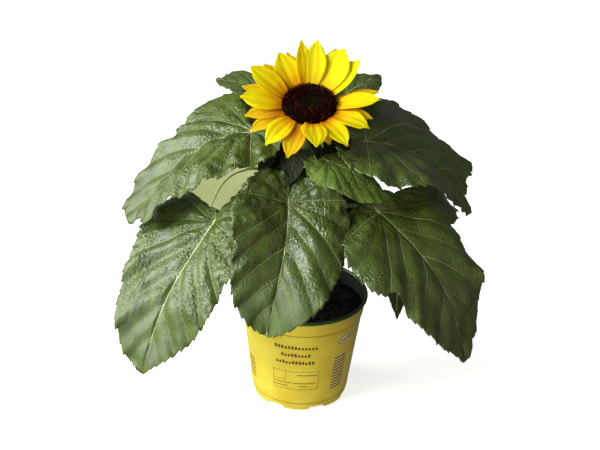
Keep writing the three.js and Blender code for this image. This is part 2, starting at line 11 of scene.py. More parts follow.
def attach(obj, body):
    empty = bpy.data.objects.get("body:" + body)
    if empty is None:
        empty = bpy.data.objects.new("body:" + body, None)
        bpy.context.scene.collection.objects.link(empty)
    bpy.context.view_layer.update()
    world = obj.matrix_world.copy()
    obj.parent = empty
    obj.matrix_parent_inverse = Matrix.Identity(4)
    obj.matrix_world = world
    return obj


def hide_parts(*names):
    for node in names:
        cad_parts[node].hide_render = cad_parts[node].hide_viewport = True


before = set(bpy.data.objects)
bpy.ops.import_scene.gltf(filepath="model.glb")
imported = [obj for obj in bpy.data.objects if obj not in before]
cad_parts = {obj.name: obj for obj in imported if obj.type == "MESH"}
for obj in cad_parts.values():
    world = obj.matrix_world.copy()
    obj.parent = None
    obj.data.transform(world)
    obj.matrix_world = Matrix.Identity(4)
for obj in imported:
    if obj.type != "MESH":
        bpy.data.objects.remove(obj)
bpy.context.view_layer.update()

# The pot's wall.
# One thin polypropylene sheet, yellow outside and green within, is warmed and drawn into a mould in one
# stroke. The mould leaves the step under the collar, the line above the foot and the ring of feet that lets
# water out.
MM = 0.001
POT_HEIGHT = 115.0
BASE_RADIUS = 48.5
COLLAR_RADIUS = 63.9
WALL = 1.2
COLLAR_LOW = 96.6
FOOT_LINE = 7.5
FLOOR_RADIUS = 41.0
FLOOR_SHEET = 2.0
RING_RADIUS = 43.5
RING_RISE = 4.5
POT_SIDES = 168
NOTCHES = 7
NOTCH_SIZE = (9.0, 18.0, 7.2)
NOTCH_ROUNDING = 1.6
FIRST_NOTCH = -119.0


def linear(code):
    """An sRGB hex colour as linear red, green, blue and alpha."""
    channels = [int(code[start:start + 2], 16) / 255 for start in (1, 3, 5)]
    return [c / 12.92 if c <= 0.04045 else ((c + 0.055) / 1.055) ** 2.4 for c in channels] + [1.0]


def node(tree, kind, inputs=None, **settings):
    """Adds a shader node with its settings. An input is a value, a socket, or a node for its first output."""
    made = tree.nodes.new("ShaderNode" + kind)
    for key, value in settings.items():
        setattr(made, key, value)
    for key, value in (inputs or {}).items():
        if isinstance(value, bpy.types.Node):
            value = value.outputs[0]
        if isinstance(value, bpy.types.NodeSocket):
            tree.links.new(value, made.inputs[key])
        else:
            made.inputs[key].default_value = value
    return made


def new_surface(name, **inputs):
    """A named material with one Principled shader, whose sockets are set by name with _ for a space."""
    made = bpy.data.materials.new(name)
    made.use_nodes = True
    shader = made.node_tree.nodes["Principled BSDF"]
    for key, value in inputs.items():
        shader.inputs[key.replace("_", " ")].default_value = value
    return made, made.node_tree, shader


def pattern_scale(millimetres):
    """The scale that makes a pattern's cells this size in object space."""
    return 1.0 / (millimetres * MM)


def new_mottled(name, cell, first, second, detail=2.0, low=0.3, high=0.7, most=1.0, pits=None, **inputs):
    """A surface whose colour drifts between two hex colours in patches of one size in millimetres.

    low and high are where in the noise the drift starts and ends, and most is the second colour's largest
    share. pits gives the fine dents: their size in millimetres, detail, strength and depth in millimetres."""
    made, tree, shader = new_surface(name, **inputs)
    place = node(tree, "TexCoord").outputs["Object"]
    cloud = node(tree, "TexNoise", {"Vector": place, "Scale": pattern_scale(cell), "Detail": detail})
    share = node(tree, "MapRange", {"Value": cloud, "From Min": low, "From Max": high, "To Max": most})
    shade = node(tree, "Mix", {0: share, 6: linear(first), 7: linear(second)}, data_type="RGBA")
    tree.links.new(shade.outputs[2], shader.inputs["Base Color"])
    if pits:
        size, pit_detail, strength, depth = pits
        dents = node(tree, "TexNoise", {"Vector": place, "Scale": pattern_scale(size), "Detail": pit_detail})
        bump = node(tree, "Bump", {"Height": dents, "Strength": strength, "Distance": depth * MM})
        tree.links.new(bump.outputs[0], shader.inputs["Normal"])
    return made


def make_piece(name, points, faces, surfaces, replaced=(), index=None, maps=None, sharp=None):
    """A mesh piece on the plant, with the slot that it wears and the solids that it replaces.

    index is each face's material, maps holds UV layers by face corner, and sharp is a hard edge's angle."""
    mesh = bpy.data.meshes.new(name)
    mesh.from_pydata((np.asarray(points, float) * MM).tolist(), [], [list(map(int, face)) for face in faces])
    for surface in surfaces:
        mesh.materials.append(surface)
    mesh.polygons.foreach_set("use_smooth", np.ones(len(mesh.polygons), bool))
    if index is not None:
        mesh.polygons.foreach_set("material_index", np.asarray(index, np.int32))
    for key, values in (maps or {}).items():
        mesh.uv_layers.new(name=key).data.foreach_set("uv", np.asarray(values, np.float32).ravel())
    if sharp is not None:
        mesh.set_sharp_from_angle(angle=math.radians(sharp))
    made = bpy.data.objects.new(name, mesh)
    bpy.context.scene.collection.objects.link(made)
    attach(made, "root")
    if replaced:
        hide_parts(*replaced)
    return made


def grid_faces(rows, columns, closed=False):
    """Quads over a grid of points, whose last column joins the first where it is closed."""
    row = np.arange(rows - 1)[:, None]
    column = np.arange(columns if closed else columns - 1)[None, :]
    a = row * columns + column
    b = row * columns + (column + 1) % columns
    return np.stack([a, b, b + columns, a + columns], -1).reshape(-1, 4)


def turned(profile, sides):
    """Points and quads of a profile of radius and height turned about the pot's axis."""
    profile = np.asarray(profile, float)
    angle = np.linspace(0, 2 * math.pi, sides, endpoint=False)
    rings = np.empty((len(profile), sides, 3))
    rings[..., 0] = profile[:, :1] * np.cos(angle)
    rings[..., 1] = profile[:, :1] * np.sin(angle)
    rings[..., 2] = profile[:, 1:]
    return rings.reshape(-1, 3), grid_faces(len(profile), sides, closed=True)


def wall_radius(height):
    """The wall tapers evenly from the lip to the foot."""
    return BASE_RADIUS + (COLLAR_RADIUS - BASE_RADIUS) * height / POT_HEIGHT


def eased(corners, reach=0.5):
    """A profile whose inner corners are each cut twice, so that it bends as drawn plastic does."""
    corners = np.asarray(corners, float)
    run = [corners[0]]
    for before, corner, after in zip(corners, corners[1:], corners[2:]):
        for other, share in ((before, 1.0), (before, 0.4), (after, 0.4), (after, 1.0)):
            way = other - corner
            size = np.linalg.norm(way)
            run.append(corner + way * min(reach * share / size, 0.45 * share))
    run.append(corners[-1])
    return np.array(run)


# Extruded polypropylene, drawn warm: an even satin gloss, with faint waves where the sheet thinned.
polypropylene = new_mottled("drawn polypropylene, yellow", 28, "#e2c636", "#ecdc4c", pits=(5, 1.0, 0.35, 0.3),
                            Roughness=0.42, IOR=1.49, Specular_IOR_Level=0.7, Subsurface_Weight=0.12,
                            Subsurface_Scale=0.002, Subsurface_Radius=(1.0, 0.8, 0.2))
# The inner layer is green, painted nearly black inside as painted shade, and comes off the tool's plug half
# matt.
painted_shade_lining = new_mottled("drawn polypropylene, green with painted shade", 14, "#0a1208", "#131f0f", detail=3.0, low=0.0,
                     high=1.0, Roughness=0.6, IOR=1.49, Specular_IOR_Level=0.2)

# The wall's section, as radius and height: its outside, its inside and the underneath.
rim_top = POT_HEIGHT - 2.5
outside = [
    [wall_radius(0) - 0.5, 0], [wall_radius(0), 0], [wall_radius(FOOT_LINE), FOOT_LINE],
    [wall_radius(FOOT_LINE) + 0.4, FOOT_LINE + 0.5], [wall_radius(COLLAR_LOW), COLLAR_LOW],
    [wall_radius(COLLAR_LOW) + 0.95, COLLAR_LOW + 0.7], [COLLAR_RADIUS - 0.1, rim_top - 2.2],
    [COLLAR_RADIUS - 0.8, rim_top - 1.6], [COLLAR_RADIUS, rim_top],
]
inside = [
    [COLLAR_RADIUS - WALL, rim_top], [wall_radius(COLLAR_LOW) - WALL, COLLAR_LOW],
    [wall_radius(5) - WALL, RING_RISE + FLOOR_SHEET], [RING_RADIUS - 0.8, RING_RISE + FLOOR_SHEET],
    [FLOOR_RADIUS - 0.8, FLOOR_SHEET], [0.05, FLOOR_SHEET],
]
under = [
    [0.05, 0], [FLOOR_RADIUS, 0], [RING_RADIUS, RING_RISE], [wall_radius(0) - WALL, RING_RISE],
    [wall_radius(0) - WALL, 0.3],
]
outside, inside, under = eased(outside), eased(inside), eased(under)
points, faces = turned(np.concatenate([under, outside, inside]), POT_SIDES)
first_inner = (len(under) + len(outside) - 1) * POT_SIDES
# The inside faces wear the green lining, painted nearly black as painted shade.
pot = make_piece("pot_wall", points, faces, [polypropylene, painted_shade_lining], ["pot_shell"],
                 index=(faces[:, 0] >= first_inner).astype(int))
# Notches round the foot, cut with one round-edged block turned about the axis, leave the feet between them.
cutter = bmesh.new()
for notch in range(NOTCHES):
    made = bmesh.ops.create_cube(cutter, size=1.0)["verts"]
    bmesh.ops.scale(cutter, vec=Vector(NOTCH_SIZE) * MM, verts=made)
    bmesh.ops.translate(cutter, vec=Vector((BASE_RADIUS * MM, 0, 0)), verts=made)
    turn = math.radians(FIRST_NOTCH + notch * 360 / NOTCHES)
    for vertex in made:
        x, y, z = vertex.co
        vertex.co = (x * math.cos(turn) - y * math.sin(turn), x * math.sin(turn) + y * math.cos(turn), z)
level_edges = [edge for edge in cutter.edges if abs(edge.verts[0].co.z - edge.verts[1].co.z) < 1e-6]
bmesh.ops.bevel(cutter, geom=level_edges, offset=NOTCH_ROUNDING * MM, segments=3, affect="EDGES")
cutter_mesh = bpy.data.meshes.new("notch_cutter")
cutter.to_mesh(cutter_mesh)
cutter.free()
cutter_object = bpy.data.objects.new("notch_cutter", cutter_mesh)
bpy.context.scene.collection.objects.link(cutter_object)
cut = pot.modifiers.new("feet", "BOOLEAN")
cut.object = cutter_object
cut.solver = "EXACT"
bpy.context.view_layer.update()
shaped = bpy.data.meshes.new_from_object(pot.evaluated_get(bpy.context.evaluated_depsgraph_get()))
pot.modifiers.clear()
pot.data = shaped
bpy.data.objects.remove(cutter_object)
shaped.set_sharp_from_angle(angle=math.radians(38))

# The print on the wall.
# Flat sheets are printed before they are drawn, so the ink lies on the plastic with almost no thickness. Rows
# of short bars, thin rules, blocks of lines and an oval stand where a printer sets a label, and say nothing.
PRINT_MIDDLE = -95.0
BAR_ROWS = ((81.0, 21.0), (71.5, 14.5), (62.0, 20.0))
BAR_PITCH = 3.3
BAR_WIDTH = 2.2
FRAME_LEFT = -24.0
FRAME_RIGHT = 25.0
FRAME_LOW = 27.2
FRAME_TOP = 50.7
RULE = 0.5
SMALL_RULES = (
    (-23.5, -10, 39.0, 39.4), (-10.4, -10, 39.0, 50.7), (2, 23, 45.4, 46.6), (-22, -4, 35.0, 36.0),
    (-2, 22, 35.0, 36.0), (-22, -8, 31.0, 32.0), (4, 14, 31.0, 32.0),
)
OVAL_SPOT = (52.5, 84.0)
OVAL_LEAN = 14.0
HALF_ROUND = 200.0
INK_THICKNESS = 0.1


def on_wall(across, height, proud):
    """A point on the wall, across being millimetres to the right of the print's middle."""
    low = FOOT_LINE + 0.5
    ends = (wall_radius(low) + 0.4, wall_radius(COLLAR_LOW))
    radius = np.interp(height, (low, COLLAR_LOW), ends) + proud
    angle = math.radians(PRINT_MIDDLE) + np.asarray(across, float) / wall_radius(55.0)
    return np.stack([radius * np.cos(angle), radius * np.sin(angle), height + 0 * angle], -1)


def sheet_normals(points, faces):
    """Unit normals at the points of a sheet, from the faces round each."""
    corners = np.array([(f[0], f[i], f[i + 1]) for f in faces for i in range(1, len(f) - 1)])
    a, b, c = (points[corners[:, i]] for i in range(3))
    across = np.cross(b - a, c - a)
    total = np.zeros_like(points)
    for i in range(3):
        np.add.at(total, corners[:, i], across)
    return total / np.maximum(np.linalg.norm(total, axis=1, keepdims=True), 1e-12)


def thickened(points, faces, thickness):
    """A sheet made solid. Gives the points, the faces, and each face's side: 0 top, 1 under, 2 rim."""
    normals = sheet_normals(points, faces)
    count = len(points)
    solid = np.concatenate([points + normals * thickness / 2, points - normals * thickness / 2])
    edges = {(f[i], f[(i + 1) % len(f)]) for f in faces for i in range(len(f))}
    rims = [(b, a, a + count, b + count) for a, b in sorted(edges) if (b, a) not in edges]
    unders = [tuple(v + count for v in reversed(f)) for f in faces]
    sides = [0] * len(faces) + [1] * len(unders) + [2] * len(rims)
    return solid, [tuple(f) for f in faces] + unders + rims, np.array(sides)


def joined(parts):
    """Several meshes, each given as points and faces, as one."""
    points, faces, total = [], [], 0
    for some_points, some_faces in parts:
        points.append(some_points)
        faces += [tuple(v + total for v in f) for f in some_faces]
        total += len(some_points)
    return np.concatenate(points), faces


def printed(name, patches, ink, proud=0.09):
    """Patches of ink or painted step shadow as one thin piece, whose middle stands so many millimetres proud
    of the wall.

    A patch is a function of two shares that gives across and height, with its counts of columns and rows."""
    parts = []
    for patch, columns, rows in patches:
        s, t = np.meshgrid(np.linspace(0, 1, columns), np.linspace(0, 1, rows))
        across, height = patch(s, t)
        spots = on_wall(across, height, proud).reshape(-1, 3)
        parts.append(thickened(spots, grid_faces(rows, columns), INK_THICKNESS)[:2])
    points, faces = joined(parts)
    make_piece(name, points, faces, [ink], sharp=30)


def bar(left, right, low, high, tilt=0.0):
    """An upright or tilted bar; tilt lifts its right end, in millimetres per millimetre."""
    steps = max(2, int((right - left) / 2.0) + 2)
    rise = tilt * (right - left)
    return lambda s, t: (left + (right - left) * s, low + (high - low) * t + rise * s), steps, 2


def line_block(left, right, low, thick, pitch, count, tilt):
    """A block of bars one above the other."""
    return [bar(left, right, low + pitch * step, low + pitch * step + thick, tilt) for step in range(count)]


def oval(half_width, half_height):
    """A filled oval at the oval's spot, leaning to the right."""
    middle, height = OVAL_SPOT
    turn = math.radians(OVAL_LEAN)

    def place_at(s, t):
        x = half_width * (0.02 + 0.98 * t) * np.cos(2 * math.pi * s)
        y = half_height * (0.02 + 0.98 * t) * np.sin(2 * math.pi * s)
        return (middle + x * math.cos(turn) - y * math.sin(turn),
                height + x * math.sin(turn) + y * math.cos(turn))
    return place_at, 41, 5


# Dry offset ink on plastic: thin, half matt, and a little broken where the sheet stretched.
# The thin brown one also paints the shadow lines under the pot's moulded steps.
brown_ink, thin_ink_and_painted_shadow, pale_ink = (
    new_mottled("dry offset ink, " + shade, 1.2, code, "#d8bf2e", low=0.45, high=0.8, most=0.4,
                Roughness=roughness, IOR=1.5)
    for shade, code, roughness in (("brown", "#4e3a10", 0.5), ("thin brown, also painted step shadow", "#8a6f1c", 0.5),
                                   ("white", "#efe6b4", 0.45)))
bars = []
rng = np.random.default_rng(4)
for height, half in BAR_ROWS:
    for left in np.arange(-half, half - 2, BAR_PITCH):
        bars.append(bar(left, left + BAR_WIDTH, height - 1.6, height + rng.choice([1.2, 1.2, 2.4])))
printed("print_bars", bars, brown_ink)
rules = [bar(FRAME_LEFT, FRAME_RIGHT, FRAME_TOP - RULE, FRAME_TOP),
         bar(FRAME_LEFT, FRAME_RIGHT, FRAME_LOW, FRAME_LOW + RULE),
         bar(FRAME_LEFT, FRAME_LEFT + RULE, FRAME_LOW, FRAME_TOP),
         bar(FRAME_RIGHT - RULE, FRAME_RIGHT, FRAME_LOW, FRAME_TOP)]
printed("print_rules", rules + [bar(*sides) for sides in SMALL_RULES], thin_ink_and_painted_shadow)
blocks = line_block(41, 57, 22.5, 1.9, 3.9, 11, 0.03) + line_block(-66, -52, 24, 2.5, 5.5, 5, -0.02)
printed("print_blocks", blocks, thin_ink_and_painted_shadow)
printed("print_light_bars", line_block(40.5, 57.5, 24.9, 1.0, 3.9, 11, 0.03) + [oval(9.2, 4.4)], pale_ink)
printed("print_oval_edge", [oval(9.9, 5.1)], brown_ink, 0.06)
oval_bars = [bar(46.4 + 2.7 * step, 48.3 + 2.7 * step, 81.5 + 0.65 * step, 83.9 + 0.65 * step)
             for step in range(5)]
printed("print_oval_bars", oval_bars, brown_ink, 0.12)
# Thin brown rings under the collar's step and just above the foot line are painted shadow of the moulded
# steps.
lines = [bar(-HALF_ROUND, HALF_ROUND, FOOT_LINE + 1.0, FOOT_LINE + 1.5),
         bar(-HALF_ROUND, HALF_ROUND, COLLAR_LOW - 1.0, COLLAR_LOW - 0.4)]
printed("painted_step_shadows", lines, thin_ink_and_painted_shadow)

# The pot's lip.
# The sheet's edge is heated again and rolled outwards into a stiff round lip. The roll shows the sheet's
# green inner layer.
LIP_MIDDLE = (COLLAR_RADIUS + 0.55, 113.0)
LIP_HALF_WIDTH = 1.75
LIP_HALF_HEIGHT = 1.9
lip_section = [[LIP_MIDDLE[0] + LIP_HALF_WIDTH * math.cos(a), LIP_MIDDLE[1] + LIP_HALF_HEIGHT * math.sin(a)]
               for a in np.linspace(-0.5 * math.pi, 1.3 * math.pi, 15)]
points, faces = turned(lip_section + [lip_section[0]], POT_SIDES)
# Rolled warm against polished steel: the green layer comes out smooth and catches a long highlight.
rolled_green, _, _ = new_surface("rolled polypropylene, green", Base_Color=linear("#27451c"), Roughness=0.28,
                                 IOR=1.49)
make_piece("pot_rolled_lip", points, faces, [rolled_green], ["pot_lip"])

# The soil.
# Moist peat with bark fines, pressed in by hand and settled by watering: nearly black, crumbly, with brown
# fibres on top, a little higher towards the wall than round the stem.
SOIL_TOP = 101.0
SOIL_RADIUS = 60.4
SOIL_RINGS = 62
SOIL_SIDES = 190


def field(x, y, cell, seed):
    """Smooth seeded noise from -1 to 1, with bumps about one cell apart."""
    u, v = x / cell + 31.7 * seed, y / cell + 17.3 * seed
    iu, iv = np.floor(u), np.floor(v)
    fu, fv = u - iu, v - iv
    fu, fv = fu * fu * (3 - 2 * fu), fv * fv * (3 - 2 * fv)

    def corner(i, j):
        value = np.sin((iu + i) * 127.1 + (iv + j) * 311.7) * 43758.5453
        return 2 * (value - np.floor(value)) - 1
    low = corner(0, 0) * (1 - fu) + corner(1, 0) * fu
    high = corner(0, 1) * (1 - fu) + corner(1, 1) * fu
    return low * (1 - fv) + high * fv


def soil_height(x, y):
    """The soil's top, banked up towards the wall and lumpy."""
    reach = np.hypot(x, y)
    bank = np.interp(reach, [0, 12, 22, 46, 61], [0.0, 0.0, 1.5, 1.6, -1.2])
    lumps = 1.1 * field(x, y, 9.0, 1) + 0.6 * field(x, y, 4.0, 2) + 0.35 * field(x, y, 1.9, 3)
    return SOIL_TOP - 0.4 + bank + lumps


def crumbs(count, size, seed, spread):
    """Small rough lumps of a few faces each, lying on the soil."""
    rng = np.random.default_rng(seed)
    ball = bmesh.new()
    bmesh.ops.create_icosphere(ball, subdivisions=1, radius=1.0)
    shape = np.array([v.co for v in ball.verts])
    corners = [tuple(v.index for v in f.verts) for f in ball.faces]
    ball.free()
    parts = []
    for _ in range(count):
        reach = spread * math.sqrt(rng.uniform(0.02, 1.0))
        angle = rng.uniform(0, 2 * math.pi)
        x, y = reach * math.cos(angle), reach * math.sin(angle)
        scale = size * rng.uniform(0.4, 1.0) * rng.uniform(0.6, 1.0, 3)
        lump = shape * scale * rng.uniform(0.75, 1.2, (len(shape), 1))
        parts.append((lump + [x, y, float(soil_height(np.array(x), np.array(y))) + 0.2 * size], corners))
    return joined(parts)


# Wet peat: almost black between the crumbs, red brown where fibres dry out, and a faint wet shine.
peat = new_mottled("moist peat", 2.2, "#0b0604", "#2c1610", detail=4.0, low=0.5, high=0.75,
                   pits=(2.2, 4.0, 0.9, 1.2), Roughness=0.86, IOR=1.35)
# Bark fines and dried fibres on top of the peat: red brown, dull, each crumb its own shade.
bark = new_mottled("bark fines", 3.5, "#1d0d08", "#6a3a28", low=0.0, high=1.0, Roughness=0.8, IOR=1.4)
rings = np.linspace(0.3, SOIL_RADIUS, SOIL_RINGS)
angles = np.linspace(0, 2 * math.pi, SOIL_SIDES, endpoint=False)
top_x, top_y = rings[:, None] * np.cos(angles), rings[:, None] * np.sin(angles)
top = np.stack([top_x, top_y, soil_height(top_x, top_y)], -1).reshape(-1, 3)
body_section = [[59.9, 92.0], [wall_radius(8) - WALL - 0.5, 7.2], [RING_RADIUS - 1.5, 6.9],
                [FLOOR_RADIUS - 1.4, 2.5], [0.3, 2.5]]
body, _ = turned(body_section, SOIL_SIDES)
points = np.concatenate([top, body])
faces = [tuple(f) for f in grid_faces(len(points) // SOIL_SIDES, SOIL_SIDES, closed=True)]
faces += [tuple(reversed(range(SOIL_SIDES))), tuple(range(len(points) - SOIL_SIDES, len(points)))]
make_piece("soil_body", points, faces, [peat], ["soil"])
points, faces = crumbs(620, size=1.9, seed=4, spread=58.0)
make_piece("soil_crumbs", points, faces, [peat])
points, faces = crumbs(230, size=1.15, seed=9, spread=57.0)
make_piece("soil_bark", points, faces, [bark])

# The stem.
# One fleshy stem grows straight up and nods forward under the head. It thickens at its foot and at each
# leaf's node, is faintly ribbed, and bristles all over with short white hairs.
STEM_RADIUS = 6.0
STEM_TAPER = 1.4
STEM_FLARE = 14.0
STEM_NODES = (170, 178, 185, 190, 205, 215, 226, 240, 250, 258, 272, 286)
SKIN_PITS = (1.4, 2.0, 0.4, 0.4)
HEAD_CENTRE = np.array([-2.0, -15.0, 329.5])
HEAD_TILT = math.radians(20)
HEAD_TURN = np.array([[1, 0, 0], [0, math.cos(HEAD_TILT), -math.sin(HEAD_TILT)],
                      [0, math.sin(HEAD_TILT), math.cos(HEAD_TILT)]])
STEM_FOOT = np.array([0.0, 0.0, 101.3])


def on_head(points):
    """Points in the head's own axes, put in their place on the plant."""
    return np.asarray(points) @ HEAD_TURN.T + HEAD_CENTRE


def bezier(a, b, c, d, count=160):
    """Points along a curve from a to d, which leaves towards b and arrives from c."""
    t = np.linspace(0, 1, count)[:, None]
    return (1 - t) ** 3 * a + 3 * (1 - t) ** 2 * t * b + 3 * (1 - t) * t ** 2 * c + t ** 3 * d


def walk(points):
    """The length of a run of points, and a function for place and direction at distances along it."""
    run = np.concatenate([[0], np.cumsum(np.linalg.norm(np.diff(points, axis=0), axis=1))])
    slopes = np.gradient(points, run, axis=0)

    def at(distance):
        spot = np.stack([np.interp(distance, run, points[:, k]) for k in range(3)], -1)
        along = np.stack([np.interp(distance, run, slopes[:, k]) for k in range(3)], -1)
        return spot, along / np.linalg.norm(along, axis=-1, keepdims=True)
    return run[-1], at


def tube(points, radii, sides, relief=None):
    """A closed round tube along a run of points. relief adds to the radius by ring and side."""
    length, at = walk(points)
    run = np.concatenate([[0], np.cumsum(np.linalg.norm(np.diff(points, axis=0), axis=1))])
    spots, along = at(run)
    across = np.array([1.0, 0.0, 0.0])
    angle = np.linspace(0, 2 * math.pi, sides, endpoint=False)
    rings = np.empty((len(points), sides, 3))
    for ring in range(len(points)):
        across = across - along[ring] * (across @ along[ring])
        across = across / np.linalg.norm(across)
        second = np.cross(along[ring], across)
        reach = radii[ring] + (relief[ring] if relief is not None else 0 * angle)
        rings[ring] = (spots[ring] + (reach * np.cos(angle))[:, None] * across
                       + (reach * np.sin(angle))[:, None] * second)
    faces = [tuple(f) for f in grid_faces(len(points), sides, closed=True)]
    last = (len(points) - 1) * sides
    faces += [tuple(reversed(range(sides))), tuple(range(last, last + sides))]
    return rings.reshape(-1, 3), faces


head_normal = HEAD_TURN @ np.array([0.0, 0.0, 1.0])
stem_top = on_head([0.0, 0.0, -17.3])
stem_line = bezier(STEM_FOOT, np.array([0, 0, STEM_FOOT[2] + 0.45 * (stem_top[2] - STEM_FOOT[2])]),
                   stem_top - 60 * head_normal, stem_top)
stem_length, stem_at = walk(stem_line)


def stem_point(height):
    """The place on the stem's middle line at about this height."""
    share = (height - STEM_FOOT[2]) / (stem_top[2] - STEM_FOOT[2])
    return stem_at(np.clip(share, 0, 1) * stem_length)[0]


# Living stem skin: pale green and half matt, with a soft rim of light from its hairs.
stem_skin = new_mottled("stem skin", 12, "#86a04c", "#b0c476", detail=3.0, pits=SKIN_PITS, Roughness=0.5,
                        IOR=1.42, Sheen_Weight=0.4, Sheen_Roughness=0.5)
# Bristles: stiff, colourless hairs that catch the light.
hair = new_mottled("plant hair", 4, "#b9c48f", "#dfe3c4", detail=3.0, pits=SKIN_PITS, Roughness=0.5, IOR=1.42)
run = np.linspace(0, stem_length, 96)
share = run / stem_length
foot_flare = 1.5 * np.clip(1 - run / STEM_FLARE, 0, 1) ** 2
neck_flare = 1.6 * np.clip(1 - (stem_length - run) / STEM_FLARE, 0, 1) ** 2
radii = STEM_RADIUS - STEM_TAPER * share + foot_flare + neck_flare
for height in STEM_NODES:
    radii = radii + 0.35 * np.exp(-((run - (height - SOIL_TOP)) / 3.0) ** 2)
angle = np.linspace(0, 2 * math.pi, 36, endpoint=False)
ribs = 0.16 * np.cos(11 * angle)[None, :] + 0.12 * field(np.cos(angle) * 9 + 40, run[:, None], 5.0, 5)
points, faces = tube(stem_at(run)[0], radii, 36, ribs)
make_piece("stem_body", points, faces, [stem_skin], ["stem"])


def bristles(line, radius_at, count, seed, longest):
    """Short stiff hairs that stand out from a tube, each a thin three-sided spike."""
    rng = np.random.default_rng(seed)
    length, at = walk(line)
    distance = rng.uniform(0.03, 0.97, count) * length
    spots, along = at(distance)
    aside = np.cross(along, rng.normal(size=(count, 3)))
    aside /= np.linalg.norm(aside, axis=1, keepdims=True)
    third = np.cross(along, aside)
    reach = radius_at(distance / length)[:, None]
    stretch = reach + longest * rng.uniform(0.4, 1.0, (count, 1))
    tips = spots + aside * stretch + along * rng.normal(0, 0.4, (count, 1))
    foot = spots + aside * (reach - 0.15)
    corners = [foot + 0.09 * (math.cos(a) * along + math.sin(a) * third) for a in (0.0, 2.1, 4.2)]
    points = np.stack(corners + [tips], 1).reshape(-1, 3)
    base = np.arange(count)[:, None] * 4
    faces = np.concatenate([base + [0, 1, 3], base + [1, 2, 3], base + [2, 0, 3], base + [0, 2, 1]])
    return points, [tuple(f) for f in faces]


points, faces = bristles(stem_line, lambda part: STEM_RADIUS - STEM_TAPER * part, 1500, 3, 1.7)
make_piece("stem_bristles", points, faces, [hair])

# The leaves.
# Each leaf is a soft heart-shaped blade on a long petiole that leaves the stem at a node. The blade is
# quilted between its sunken veins, ruffled and toothed at its margin, waxy above, and pale and matt below.
# The margin, as angles from the tip and reach from the joint in parts of the length. The side veins meet it
# at the angles below it, and each has a weight of its own.
OUTLINE = np.array([
    [0, 1], [5, 0.93], [14, 0.85], [24, 0.765], [36, 0.67], [50, 0.575], [68, 0.48],
    [90, 0.4], [118, 0.34], [146, 0.285], [164, 0.23], [175, 0.12],
])
SIDE_VEINS = np.array([178.0, 150.0, 122.0, 92.0, 68.0, 46.0, 33.0, 23.0, 14.5, 7.5, 0.0])
VEIN_WEIGHTS = np.array([0.2, 0.3, 0.35, 0.75, 0.35, 1.0, 0.5, 0.55, 0.4, 0.4, 0.4])
FAN_ANGLE = 45.0
